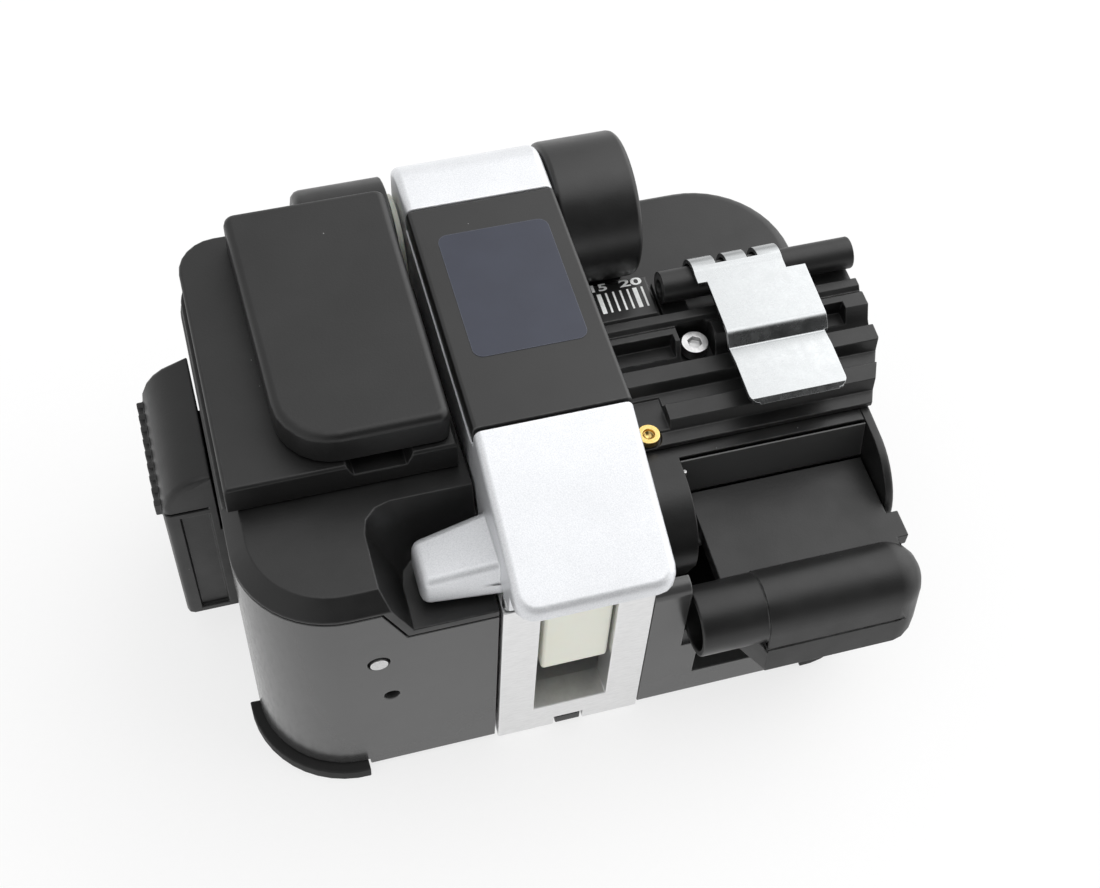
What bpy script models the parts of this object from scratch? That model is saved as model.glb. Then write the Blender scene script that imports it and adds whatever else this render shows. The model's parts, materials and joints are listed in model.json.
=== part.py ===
"""A bench-top optical fibre cleaver, as an assembly of separate pieces.

Lengths are metres. X runs along the fibre, Y from front to back and Z up. The blade plane is X = 0, the front
face of the chassis frame is Y = 0 and the floor is Z = 0 while the pieces are made. At the end the whole
assembly is moved so that the origin lies under the middle of its bounding box.
"""

import math

import bmesh
import bpy
from mathutils import Matrix, Vector

# Clearances, how finely curves are drawn, and how large a joint's axis is marked
GAP = 0.0003
PLAY = 0.0003
SWING = 0.0006
OVER = 0.0020
ARC_STEPS = 6
ROUND_SIDES = 32
AXIS_MARK = 0.0100

# Chassis frame
GROUND = 0.0010
FRAME_HEIGHT = 0.0333
FRAME_DEPTH = 0.0600
FRAME_HALF = 0.0096
FRAME_WALL = 0.0026
FRONT_PLATE = 0.0040
WINDOW_HALF = 0.0049
WINDOW_SILL = 0.0059
NOTCH_HALF = 0.0020
NOTCH_HEIGHT = 0.0020
TONGUE_INSET = 0.0001
CHANNEL_FLOOR = 0.0016
LEDGE_WIDTH = 0.0022
LEDGE_THICK = 0.0025

# Hinge of the arm and the roller cover, above the frame's top and in from its back
HINGE_INSET = 0.0060
HINGE_RISE = 0.0062
SHAFT_R = 0.0030
LUG_THICK = 0.0026
LUG_HALF = 0.0040
LUG_R = 0.0045
LUG_FOOT = 0.0200
BARREL_R = 0.0098
BARREL_LENGTH = 0.0110
BARREL_EDGE = 0.0008
BARREL_WALL = 0.0023
BARREL_FOOT_HALF = 0.0050
SPRING_R = 0.0052
SPRING_WIRE_R = 0.0005
SPRING_TURNS = 4
SPRING_PITCH = 0.0017
WASHER_R = 0.0064
WASHER_THICK = 0.0007

# The fibre, in front of the hinge and above the frame's top
FIBRE_AHEAD = 0.0176
FIBRE_RISE = 0.0005

# Housings and base plate; the backs are behind the hinge
WALL = 0.0022
FRONT_Y = 0.0005
LEFT_X = -0.0392
RIGHT_X = 0.0458
LEFT_BACK = 0.0016
RIGHT_BACK = 0.0100
CORNER_R = 0.0118
REAR_LEFT_R = 0.0070
REAR_RIGHT_R = 0.0135
BASE_THICK = 0.0017
FOOT_TOP = 0.0020
FOOT_PROUD = 0.0013
RIGHT_FOOT_PROUD = 0.0002
FOOT_WIDTH = 0.0055
FOOT_PAST = math.radians(2)

# Left deck above the frame's top, its finger recess, and the collector deck plate on it
DECK_RISE = 0.0077
DECK_THICK = 0.0025
DECK_RIM = 0.0021
DECK_EDGE = 0.0009
RECESS_LEFT = -0.0236
RECESS_BACK = 0.0138
RECESS_DEPTH = 0.0075
RECESS_SLOPE = 0.0034
RECESS_WALL = 0.0012
PLATE_THICK = 0.0044
PLATE_INSET = 0.0008
PLATE_FRONT = 0.0165
PLATE_BACK = 0.0009
PLATE_CORNER_R = 0.0050
THUMB_LEFT = -0.0242
THUMB_RIGHT = -0.0163
THUMB_DEPTH = 0.0019
THUMB_SLOPE = 0.0008
THUMB_REACH = 0.0040

# Roller cover
COVER_HEIGHT = 0.0048
COVER_INSET = 0.0072
COVER_TAPER = 0.0009
COVER_FRONT = 0.0172
COVER_BACK_INSET = 0.0002
COVER_CORNER_R = 0.0070
COVER_BACK_R = 0.0015
COVER_EDGE = 0.0011
COVER_WALL = 0.0016
COVER_ROOF = 0.0018
KNUCKLE_R = 0.0088
KNUCKLE_LENGTH = 0.0118
KNUCKLE_EDGE = 0.0012
KNUCKLE_END = 0.0012

# Scrap rollers, in line with the fibre
ROLLER_X = -0.0190
ROLLER_R = 0.0030
ROLLER_HALF = 0.0040
ROLLER_SHAFT_R = 0.0010
ROLLER_CHEEK = 0.0014
ROLLER_CHEEK_HALF = 0.0024
HANGER_THICK = 0.0016
HANGER_HALF = 0.0036

# Scrap bin
BIN_AHEAD = 0.0114
BIN_BEHIND = 0.0076
BIN_LIFT = 0.0043
BIN_DROP = 0.0017
BIN_HEAD = 0.0069
BIN_HEAD_R = 0.0062
BIN_TRAY_DROP = 0.0020
BIN_TRAY_INSET = 0.0036
BIN_WALL = 0.0014
BIN_SEAM = 0.0065
BIN_SEAM_HEIGHT = 0.0004
BIN_PANEL_EDGE = 0.0010
BIN_PANEL_DEPTH = 0.0005
GRIP_DROP = 0.0055
GRIP_HEIGHT = 0.0022
GRIP_PROUD = 0.0008
GRIP_RIBS = 9

# Arm, above and behind the hinge, with its lip in front of the frame
ARM_RISE = 0.0104
ARM_BACK = 0.0065
ARM_BACK_R = 0.0055
ARM_BACK_OPEN = 0.0025
ARM_WALL = 0.0022
ARM_CHEEK = 0.0016
ARM_CLEAR = 0.0023
ARM_LIP = 0.0058
ARM_LIP_FALL = 0.0075
ARM_LIP_HEIGHT = 0.0017
ARM_JAW = 0.0020
ARM_JAW_DROP = 0.0032
ARM_CORNER_R = 0.0026
ARM_REAR_R = 0.0020
ARM_EDGE = 0.0010
INLAY_FRONT = 0.0154
INLAY_BACK_INSET = 0.0045
INLAY_THICK = 0.0028
INLAY_CHAMFER = 0.0006
TAB_REACH = 0.0091
TAB_FRONT = 0.0018
TAB_BACK = 0.0100
TAB_LIFT = 0.0010
TAB_HEIGHT = 0.0070
TAB_DROP = 0.0022
TAB_TAPER = 0.0009
TAB_EDGE = 0.0011
BLOCK_PLAY = 0.0003
BLOCK_LEFT_PLAY = 0.0008
BLOCK_REACH = 0.0178
BLOCK_FRONT = 0.0007
BLOCK_BACK = 0.0085
BLOCK_CHAMFER = 0.0003
HOLDER_HALF_Y = 0.0055
HOLDER_LIFT = 0.0042

# Clamps and anvil round the fibre
PAD_WIDTH = 0.0032
PAD_HALF_Y = 0.0030
PAD_DEPTH = 0.0028
PAD_SPLIT = 0.0003
ANVIL_HALF_X = 0.0012
ANVIL_HALF_Y = 0.0020
ANVIL_LIFT = 0.0006

# Blade carriage, shown after a cleave with the arm closed
CARRIAGE_BEHIND = 0.0091
CARRIAGE_HALF_Y = 0.0080
CARRIAGE_ABOVE = 0.0023
CARRIAGE_ROOM = 0.0015
CARRIAGE_SLOT_HALF = 0.0022
RAIL_HALF = 0.0020
RAIL_HEIGHT = 0.0036
RAIL_FRONT = 0.0100
RAIL_BACK_INSET = 0.0025
BLADE_R = 0.0080
BLADE_HALF = 0.0004
BLADE_HUB_R = 0.0026
BLADE_HUB_HALF = 0.0012
AXLE_R = 0.0012
BLADE_UNDER_FIBRE = 0.0003

# Right deck below the frame's top, and the lever's ears
RDECK_DROP = 0.0043
RDECK_THICK = 0.0027
RDECK_FRONT = 0.0185
RDECK_EDGE = 0.0020
RDECK_SLOPE = 0.0016
RECESS_BACK_WALL = 0.0016
EAR_R = 0.0084
EAR_Y = 0.0167
EAR_DEPTH = 0.0090
EAR_DROP = 0.0055
EAR_EDGE = 0.0005
LEFT_EAR_RIGHT = 0.0188
RIGHT_EAR_WIDTH = 0.0013

# Press lever, on a pin at the ears' middle
LEVER_LEFT = 0.0198
LEVER_PANEL_BACK = 0.0168
LEVER_PANEL_RISE = 0.0042
LEVER_PANEL_THICK = 0.0022
LEVER_PIN_R = 0.0015
LEVER_PIN_Y = 0.0150
LEVER_PIN_DROP = 0.0097
LEVER_HUB_R = 0.0034
BAR_Y = -0.0002
BAR_RISE = 0.0016
BAR_R = 0.0046
BAR_LEFT = 0.0239
BAR_END_R = 0.0040
BAR_SEAM = 0.0044
BAR_SEAM_DEPTH = 0.0002
TUBE_LEFT = 0.0152
TUBE_R = 0.0045
TUBE_BORE_R = 0.0037
TUBE_BORE_DEPTH = 0.0060
SKIRT_LIFT = 0.01375
SKIRT_OUT = 0.0056
SKIRT_TOE = 0.0080
SKIRT_BACK_DROP = 0.0054
SKIRT_CHEEK = 0.0033
LEVER_SPRING_R = 0.0027
LEVER_SPRING_WIRE_R = 0.0003
LEVER_SPRING_TURNS = 3
LEVER_SPRING_PITCH = 0.0011
LEVER_SPRING_POCKET_R = 0.0036
LEVER_SPRING_LEG = 0.0082
LEVER_WINDOW_LEFT = 0.0172
LEVER_WINDOW_INSET = 0.0020
LEVER_WINDOW_DROP = 0.0085
LEVER_CUT_LEFT = 0.0148
FRONT_WALL_RISE = 0.0022
FRONT_WALL_EDGE = 0.0016

# Fibre adapter on the right deck, from the fibre forwards
ADAPTER_INSET = 0.0016
ADAPTER_PAST = 0.0040
ADAPTER_SLANT = 0.0038
ADAPTER_SLANT_DEPTH = 0.0085
ADAPTER_AHEAD = 0.0158
ADAPTER_BEHIND = 0.0019
ADAPTER_FLOOR = 0.0008
ADAPTER_TOP = 0.0047
RIB_START = 0.0019
RIB_COUNT = 2
RIB_PITCH = 0.0057
RIB_TOP = 0.0024
RIB_DRAFT = 0.0006
RIB_RISE = 0.0017
RIB_TILT = 0.0002
RIB_CLIMB = 0.0006
RIB_LEFT = 0.0186
SEAT_START = 0.0114
SEAT_STEP = 0.0026
SEAT_SLOPE_END = 0.0028
SEAT_GROOVE = 0.0006
SEAT_SLOT_LEFT_END = 0.0225
SEAT_SLOT_RIGHT = 0.0430
SEAT_SLOT_RIGHT_END = 0.0465
SEAT_SLOT_DEPTH = 0.0022
SEAT_SLOT_FLOOR = 0.0023
LEDGE_LEFT = 0.0228
LEDGE_BACK = 0.0086
SCREW_X = 0.0256
SCREW_AHEAD = 0.0022
SCREW_HEAD_R = 0.0018
SCREW_HEAD = 0.0016
SCREW_SEAT = 0.0010
SCREW_SOCKET_R = 0.0010
SCREW_POCKET_HALF = 0.0024
SCREW_POCKET_R = 0.0008
EYELET_BESIDE = 0.0059
EYELET_AHEAD = 0.0142
EYELET_R = 0.0015
EYELET_BORE_R = 0.0008
EYELET_SEAT = 0.0004
EYELET_HEIGHT = 0.0010

# Scale plate behind the fibre
SCALE_RIGHT = 0.0223
SCALE_BEHIND = 0.0024
SCALE_DEPTH = 0.0070
SCALE_HEIGHT = 0.0042
SCALE_EDGE = 0.0004

# Spring clip and the barrel it curls round
CLIP_BARREL_BEHIND = 0.0056
CLIP_BARREL_RISE = 0.0060
CLIP_BARREL_R = 0.0022
CLIP_BARREL_PAST = 0.0041
CLIP_SOCKET_R = 0.0011
CLIP_SOCKET_DEPTH = 0.0012
CLIP_LEFT = 0.0284
CLIP_RIGHT = 0.0422
CLIP_SHEET = 0.0006
CLIP_TAB_LEFT = 0.0271
CLIP_TAB_RIGHT = 0.0395
CLIP_TAB_DEPTH = 0.0026
CLIP_FLAP_RIGHT = 0.0417
CLIP_FLAP_LENGTH = 0.0212
CLIP_FOLD_AHEAD = 0.0108
CLIP_FOLD_RUN = 0.0014
CLIP_FOLD_R = 0.0011
CLIP_HEEL_R = 0.0006
CLIP_CREASE = 0.0026
CLIP_CREASE_RISE = 0.0003
CLIP_TOP_RISE = 0.0019
CLIP_DROP = 0.0017
CLIP_LIP = 0.0005
CLIP_CORNER_R = 0.0012
CLIP_NOTCH_WIDTH = 0.0015
CLIP_NOTCH_LEFT = 0.0304
CLIP_NOTCH_RIGHT = 0.0348

# Small fasteners at the front
WALL_PIN_X = -0.0246
WALL_PIN_Z = 0.0281
WALL_PIN_R = 0.0011
WALL_PIN_PROUD = 0.0002
WALL_HOLE_X = -0.0233
WALL_HOLE_Z = 0.0193
WALL_HOLE_R = 0.0010
LATCH_INSET = 0.0010
LATCH_Y = 0.0010
LATCH_R = 0.0009
LATCH_HEIGHT = 0.0021

# Heights, from the floor up
FRAME_TOP = GROUND + FRAME_HEIGHT
BASE_TOP = GROUND + BASE_THICK
CHANNEL_LOW = BASE_TOP + GAP
CHANNEL_TOP = CHANNEL_LOW + CHANNEL_FLOOR
HINGE_Z = FRAME_TOP + HINGE_RISE
FIBRE_Z = FRAME_TOP + FIBRE_RISE
ARM_TOP = HINGE_Z + ARM_RISE
ARM_LOW = FRAME_TOP + ARM_CLEAR
ARM_LIP_TOP = ARM_TOP - ARM_LIP_FALL
ARM_LIP_LOW = ARM_LIP_TOP - ARM_LIP_HEIGHT
ARM_JAW_LOW = ARM_LIP_LOW - ARM_JAW_DROP
INLAY_BED = ARM_TOP - INLAY_THICK - GAP
DECK_TOP = FRAME_TOP + DECK_RISE
DECK_LOW = DECK_TOP - DECK_THICK
LEFT_TOP = DECK_LOW - GAP
RECESS_FLOOR = DECK_TOP - RECESS_DEPTH
PLATE_LOW = DECK_TOP + GAP
PLATE_TOP = PLATE_LOW + PLATE_THICK
COVER_LOW = PLATE_TOP + GAP
COVER_TOP = COVER_LOW + COVER_HEIGHT
PINCH_Z = FIBRE_Z + ROLLER_R + GAP / 2
DRIVE_Z = FIBRE_Z - ROLLER_R - GAP / 2
BIN_LOW = BASE_TOP + BIN_LIFT
BIN_HIGH = LEFT_TOP - BIN_DROP
BIN_TRAY_TOP = DRIVE_Z - HANGER_HALF - BIN_TRAY_DROP
LEDGE_HIGH = FIBRE_Z - PAD_DEPTH
HOLDER_LOW = FIBRE_Z + HOLDER_LIFT
BLADE_Z = FIBRE_Z - BLADE_UNDER_FIBRE - BLADE_R
RAIL_TOP = CHANNEL_TOP + GAP + RAIL_HEIGHT
RDECK_TOP = FRAME_TOP - RDECK_DROP
RDECK_LOW = RDECK_TOP - RDECK_THICK
RIGHT_TOP = RDECK_LOW - GAP
ADAPTER_LOW = RDECK_TOP + GAP
CLIP_BARREL_Z = RDECK_TOP + CLIP_BARREL_RISE
EAR_Z = RDECK_TOP - EAR_R
LEVER_PIN_Z = RDECK_TOP - LEVER_PIN_DROP
EAR_LOW = LEVER_PIN_Z - EAR_DROP
BAR_Z = LEVER_PIN_Z + BAR_RISE
SKIRT_LOW = GROUND + SKIRT_LIFT

# Places from front to back
HINGE_Y = FRAME_DEPTH - HINGE_INSET
FIBRE_Y = HINGE_Y - FIBRE_AHEAD
LEFT_REAR_Y = HINGE_Y + LEFT_BACK
RIGHT_REAR_Y = HINGE_Y + RIGHT_BACK
INLAY_BACK = HINGE_Y - INLAY_BACK_INSET
BIN_FRONT = FIBRE_Y - BIN_AHEAD
BIN_BACK = FIBRE_Y + BIN_BEHIND
CARRIAGE_Y = FIBRE_Y + CARRIAGE_BEHIND
CLIP_BARREL_Y = FIBRE_Y + CLIP_BARREL_BEHIND
EAR_FRONT = EAR_Y - EAR_R
EAR_BACK = LEVER_PIN_Y + EAR_DEPTH

# Places from left to right
HOUSING_SIDE = FRAME_HALF + GAP
CHANNEL_HALF = FRAME_HALF - FRAME_WALL
ARM_INSIDE = FRAME_HALF - ARM_CHEEK
LUG_OUTER = CHANNEL_HALF + GAP
WASHER_SIDE = FRAME_HALF + GAP
KNUCKLE_SIDE = WASHER_SIDE + WASHER_THICK + GAP
KNUCKLE_LEFT = -KNUCKLE_SIDE - KNUCKLE_LENGTH
COVER_RIGHT = -KNUCKLE_SIDE - SWING
COVER_LEFT = LEFT_X + COVER_INSET
BIN_HEAD_LEFT = LEFT_X - BIN_HEAD
BARREL_LEFT = FRAME_HALF + GAP
BARREL_END = BARREL_LEFT + BARREL_LENGTH
LEVER_RIGHT = RIGHT_X - RIGHT_EAR_WIDTH - GAP
RDECK_SIDE = HOUSING_SIDE + GAP
ADAPTER_LEFT = FRAME_HALF + ADAPTER_INSET
ADAPTER_RIGHT = RIGHT_X + ADAPTER_PAST
CLIP_BARREL_LEFT = LEDGE_LEFT
CLIP_BARREL_RIGHT = RIGHT_X + CLIP_BARREL_PAST

HINGE = (HINGE_Y, HINGE_Z)
LEVER_PIN = (LEVER_PIN_Y, LEVER_PIN_Z)
CLIP_BARREL = (CLIP_BARREL_Y, CLIP_BARREL_Z)

# For each axis, the frame in which a flat outline is drawn
AXES = {
    "X": Matrix(((0, 0, 1, 0), (1, 0, 0, 0), (0, 1, 0, 0), (0, 0, 0, 1))),
    "Y": Matrix(((1, 0, 0, 0), (0, 0, -1, 0), (0, 1, 0, 0), (0, 0, 0, 1))),
    "Z": Matrix.Identity(4),
}


def clear_scene():
    for obj in list(bpy.data.objects):
        bpy.data.objects.remove(obj, do_unlink=True)


def new_collection(name):
    found = bpy.data.collections.new(name)
    bpy.context.scene.collection.children.link(found)
    return found


clear_scene()
PARTS = new_collection("fibre_cleaver")
CUTTERS = new_collection("cutters")


def empty(name, place=(0, 0, 0), parent=None):
    """An empty at a joint's axis, which carries that joint's pieces."""
    found = bpy.data.objects.new(name, None)
    found.empty_display_size = AXIS_MARK
    PARTS.objects.link(found)
    found.location = place
    bpy.context.view_layer.update()
    if parent:
        attach(found, parent)
    return found


def attach(obj, parent):
    obj.parent = parent
    obj.matrix_parent_inverse = parent.matrix_world.inverted()
    bpy.context.view_layer.update()


def paint(name, colour, roughness, metallic=0.0):
    found = bpy.data.materials.new(name)
    found.use_nodes = True
    shader = found.node_tree.nodes["Principled BSDF"]
    shader.inputs["Base Color"].default_value = (*colour, 1)
    shader.inputs["Roughness"].default_value = roughness
    shader.inputs["Metallic"].default_value = metallic
    found.diffuse_color = (*colour, 1)
    return found


def part(obj, finish, parent):
    """Makes the object a piece of the assembly."""
    obj.data.materials.clear()
    obj.data.materials.append(paint(obj.name, *finish))
    PARTS.objects.link(obj)
    attach(obj, parent)
    return obj


def helper(obj):
    """Makes the object a cutter, or a solid that a Boolean joins to another."""
    CUTTERS.objects.link(obj)
    obj.hide_render = True
    obj.display_type = "WIRE"
    attach(obj, ROOT)
    return obj


def mesh_object(name, fill, matrix=None):
    bm = bmesh.new()
    fill(bm)
    bmesh.ops.recalc_face_normals(bm, faces=bm.faces)
    data = bpy.data.meshes.new(name)
    bm.to_mesh(data)
    bm.free()
    obj = bpy.data.objects.new(name, data)
    if matrix is not None:
        obj.matrix_world = matrix
    return obj


def arc(centre, radius, start, end, steps=ARC_STEPS):
    """Points of an arc between two angles in degrees, both ends included."""
    turns = [math.radians(start + (end - start) * i / steps) for i in range(steps + 1)]
    return [(centre[0] + radius * math.cos(a), centre[1] + radius * math.sin(a)) for a in turns]


def rounded(corners, steps=ARC_STEPS):
    """An outline from corners (u, v) or (u, v, radius), each radius made an arc."""
    found = []
    for i, corner in enumerate(corners):
        here = Vector(corner[:2])
        if len(corner) == 2:
            found.append(tuple(here))
            continue
        back = (Vector(corners[i - 1][:2]) - here).normalized()
        ahead = (Vector(corners[(i + 1) % len(corners)][:2]) - here).normalized()
        half = back.angle(ahead) / 2
        middle = here + (back + ahead).normalized() * corner[2] / math.sin(half)
        start = here + back * corner[2] / math.tan(half) - middle
        end = here + ahead * corner[2] / math.tan(half) - middle
        sweep = start.angle_signed(end)
        for k in range(steps + 1):
            turn = Matrix.Rotation(-sweep * k / steps, 2)
            found.append(tuple(middle + turn @ start))
    return found


def rectangle(u0, v0, u1, v1, radius=0.0):
    corners = [(u0, v0), (u1, v0), (u1, v1), (u0, v1)]
    return rounded([(*c, radius) for c in corners]) if radius else corners


def prism(name, outlines, low, high, axis):
    """A flat outline, or an outline and its holes, drawn out from low to high along an axis.

    Along X an outline is (y, z), along Y it is (x, z) and along Z it is (x, y).
    """
    curve = bpy.data.curves.new(name, "CURVE")
    curve.dimensions = "2D"
    curve.fill_mode = "BOTH"
    curve.extrude = (high - low) / 2
    for outline in outlines:
        spline = curve.splines.new("POLY")
        spline.points.add(len(outline) - 1)
        for point, (u, v) in zip(spline.points, outline):
            point.co = (u, v, 0, 1)
        spline.use_cyclic_u = True
    shift = {"X": Vector((1, 0, 0)), "Y": Vector((0, 1, 0)), "Z": Vector((0, 0, 1))}[axis]
    matrix = Matrix.Translation(shift * (low + high) / 2) @ AXES[axis]
    return meshed(name, curve, matrix)


def meshed(name, curve, matrix):
    """The curve as a mesh object with welded caps, in the curve's place."""
    drawn = bpy.data.objects.new(name, curve)
    bpy.context.scene.collection.objects.link(drawn)
    drawn.matrix_world = matrix
    bpy.context.view_layer.update()
    graph = bpy.context.evaluated_depsgraph_get()
    data = bpy.data.meshes.new_from_object(drawn.evaluated_get(graph))
    bm = bmesh.new()
    bm.from_mesh(data)
    bmesh.ops.remove_doubles(bm, verts=bm.verts, dist=1e-6)
    bmesh.ops.dissolve_limit(bm, angle_limit=math.radians(0.1), verts=bm.verts, edges=bm.edges)
    bmesh.ops.recalc_face_normals(bm, faces=bm.faces)
    bm.to_mesh(data)
    bm.free()
    data.name = name
    bpy.data.objects.remove(drawn, do_unlink=True)
    obj = bpy.data.objects.new(name, data)
    obj.matrix_world = matrix
    return obj


def box(name, low, high):
    """A box between two corners."""
    low = Vector(low)
    high = Vector(high)

    def fill(bm):
        bmesh.ops.create_cube(bm, size=1, matrix=Matrix.Diagonal((*(high - low), 1)))

    return mesh_object(name, fill, Matrix.Translation((low + high) / 2))


def rod(name, radius, low, high, axis, centre, sides=ROUND_SIDES):
    """A round bar along an axis. The centre is (y, z), (x, z) or (x, y), as for a prism."""

    def fill(bm):
        bmesh.ops.create_cone(
            bm, cap_ends=True, segments=sides, radius1=radius, radius2=radius, depth=high - low
        )

    place = AXES[axis] @ Vector((*centre, 0))
    along = AXES[axis] @ Vector((0, 0, 1))
    middle = (low + high) / 2 * (-1 if axis == "Y" else 1)
    obj = mesh_object(name, fill, Matrix.Translation(place + along * middle) @ AXES[axis])
    smooth(obj)
    return obj


def wire(name, points, radius):
    """A round wire through the points, as one unbroken tube."""
    curve = bpy.data.curves.new(name, "CURVE")
    curve.dimensions = "3D"
    curve.bevel_depth = radius
    curve.bevel_resolution = 1
    curve.use_fill_caps = True
    spline = curve.splines.new("POLY")
    spline.points.add(len(points) - 1)
    for point, co in zip(spline.points, points):
        point.co = (*co, 1)
    obj = meshed(name, curve, Matrix.Identity(4))
    smooth(obj)
    return obj


def smooth(obj):
    obj.data.shade_smooth()
    obj.data.set_sharp_from_angle(angle=math.radians(40))


def boolean(obj, other, operation):
    found = obj.modifiers.new(other.name, "BOOLEAN")
    found.operation = operation
    found.object = other
    found.solver = "EXACT"
    return obj


def cut(obj, *others):
    for other in others:
        boolean(obj, other if other.hide_render else helper(other), "DIFFERENCE")
    return obj


def join(obj, *others):
    for other in others:
        boolean(obj, other if other.hide_render else helper(other), "UNION")
    return obj


def soften(obj, width, segments, pick):
    """Rounds the edges whose middle and direction, in assembly space, are picked."""
    bm = bmesh.new()
    bm.from_mesh(obj.data)
    chosen = []
    for edge in bm.edges:
        ends = [obj.matrix_world @ v.co for v in edge.verts]
        sharp = edge.is_manifold and edge.calc_face_angle() > math.radians(30)
        if sharp and pick((ends[0] + ends[1]) / 2, (ends[1] - ends[0]).normalized()):
            chosen.append(edge)
    bmesh.ops.bevel(bm, geom=chosen, offset=width, segments=segments, profile=0.5, affect="EDGES")
    bm.to_mesh(obj.data)
    bm.free()
    return obj


def above(height):
    return lambda middle, direction: middle.z > height - 1e-5


def strip(path, thickness):
    """The outline of a bent sheet whose middle follows the path."""
    points = [Vector(p) for p in path]
    sides = ([], [])
    for i, point in enumerate(points):
        before = points[max(i - 1, 0)]
        after = points[min(i + 1, len(points) - 1)]
        run = (after - before).normalized()
        across = Vector((-run.y, run.x)) * thickness / 2
        sides[0].append(tuple(point + across))
        sides[1].append(tuple(point - across))
    return sides[0] + sides[1][::-1]


def helix(start_x, centre, radius, turns, pitch, phase=0.0, steps=16):
    """Points of a coil along X round a centre (y, z)."""
    found = []
    for i in range(int(turns * steps) + 1):
        a = phase + 2 * math.pi * i / steps
        x = start_x + pitch * i / steps
        found.append((x, centre[0] + radius * math.cos(a), centre[1] + radius * math.sin(a)))
    return found


# Colour, roughness and metallic value of each kind of surface
GLOSS_BLACK = ((0.020, 0.020, 0.021), 0.18)
MATTE_BLACK = ((0.018, 0.018, 0.019), 0.55)
SATIN_BLACK = ((0.014, 0.014, 0.015), 0.35)
ALUMINIUM = ((0.72, 0.72, 0.73), 0.38, 1.0)
SILVER_PAINT = ((0.74, 0.75, 0.77), 0.34, 0.7)
IVORY = ((0.79, 0.78, 0.64), 0.45)
STEEL = ((0.62, 0.62, 0.61), 0.28, 1.0)
BRIGHT_STEEL = ((0.80, 0.81, 0.82), 0.14, 1.0)
BRASS = ((0.75, 0.55, 0.22), 0.28, 1.0)
RUBBER = ((0.020, 0.020, 0.020), 0.75)
CARBIDE = ((0.42, 0.42, 0.43), 0.25, 1.0)

ROOT = empty("cleaver")
ARM = empty("arm_axis", (0, HINGE_Y, HINGE_Z), ROOT)
COVER = empty("cover_axis", (COVER_RIGHT, HINGE_Y, HINGE_Z), ROOT)
PINCH = empty("pinch_axis", (ROLLER_X, FIBRE_Y, PINCH_Z), COVER)
DRIVE = empty("drive_axis", (ROLLER_X, FIBRE_Y, DRIVE_Z), ROOT)
BIN = empty("bin_axis", (LEFT_X, (BIN_FRONT + BIN_BACK) / 2, BIN_LOW), ROOT)
CARRIAGE = empty("carriage_axis", (0, CARRIAGE_Y, RAIL_TOP), ROOT)
BLADE = empty("blade_axis", (0, CARRIAGE_Y, BLADE_Z), CARRIAGE)
CLIP = empty("clip_axis", (CLIP_LEFT, *CLIP_BARREL), ROOT)
LEVER = empty("lever_axis", (LEVER_LEFT, *LEVER_PIN), ROOT)


def left_plan(inset=0.0, side=-HOUSING_SIDE):
    """The left housing's plan, drawn in by an inset."""
    left = LEFT_X + inset
    front = FRONT_Y + inset
    back = LEFT_REAR_Y - inset
    rear_corner = (left, back, REAR_LEFT_R - inset)
    corners = [(side, front), (side, back), rear_corner, (left, front, CORNER_R - inset)]
    return rounded(corners, 2 * ARC_STEPS)


def right_plan(inset=0.0, side=HOUSING_SIDE, front=FRONT_Y, front_r=CORNER_R):
    """The right housing's plan, drawn in by an inset."""
    right = RIGHT_X - inset
    front = front + inset
    back = RIGHT_REAR_Y - inset
    front_corner = (right, front, front_r - inset) if front_r else (right, front)
    corners = [(side, back), (side, front), front_corner, (right, back, REAR_RIGHT_R - inset)]
    return rounded(corners, 2 * ARC_STEPS)


def recess_box(name, grow, low, high, reach):
    """The tapered finger recess: its walls slope in towards the floor, and it is open at the front."""
    left = RECESS_LEFT - grow
    back = RECESS_BACK + grow
    slope = RECESS_SLOPE / RECESS_DEPTH
    sink = (DECK_TOP - low) * slope
    rise = (high - DECK_TOP) * slope
    obj = box(name, (left, -reach, low), (-HOUSING_SIDE + reach, back, high))
    for vertex in obj.data.vertices:
        place = obj.matrix_world @ vertex.co
        shift = sink if vertex.co.z < 0 else -rise
        if vertex.co.x < 0:
            place.x += shift
        if vertex.co.y > 0:
            place.y -= shift
        vertex.co = obj.matrix_world.inverted() @ place
    return soften(
        obj, RECESS_SLOPE, 3, lambda m, d: abs(d.z) > 0.5 and m.x < left + 2 * RECESS_SLOPE and m.y > reach
    )


def foot_places():
    """Corner centre, corner radius, how far it stands out and first angle of each foot."""
    r = CORNER_R
    rear = REAR_LEFT_R
    far = REAR_RIGHT_R
    return {
        "front_left": ((LEFT_X + r, FRONT_Y + r), r, FOOT_PROUD, 180),
        "front_right": ((RIGHT_X - r, FRONT_Y + r), r, RIGHT_FOOT_PROUD, 270),
        "rear_right": ((RIGHT_X - far, RIGHT_REAR_Y - far), far, RIGHT_FOOT_PROUD, 0),
        "rear_left": ((LEFT_X + rear, LEFT_REAR_Y - rear), rear, FOOT_PROUD, 90),
    }


def foot_solid(name, place, low, high, grow):
    centre, radius, proud, start = place
    past = math.degrees(FOOT_PAST + grow / radius)
    outer = radius + proud + grow
    inner = radius - FOOT_WIDTH - grow
    outline = arc(centre, outer, start - past, start + 90 + past, 2 * ARC_STEPS)
    outline += arc(centre, inner, start + 90 + past, start - past, ARC_STEPS)
    return prism(name, [outline], low, high, "Z")


def make_feet():
    """Four rubber corner pads, and the pockets that they sit in."""
    pockets = []
    for corner, place in foot_places().items():
        part(foot_solid("foot_" + corner, place, 0, FOOT_TOP, 0), RUBBER, ROOT)
        pockets.append(helper(foot_solid("pocket_" + corner, place, -OVER, FOOT_TOP + GAP, GAP)))
    return pockets


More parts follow.
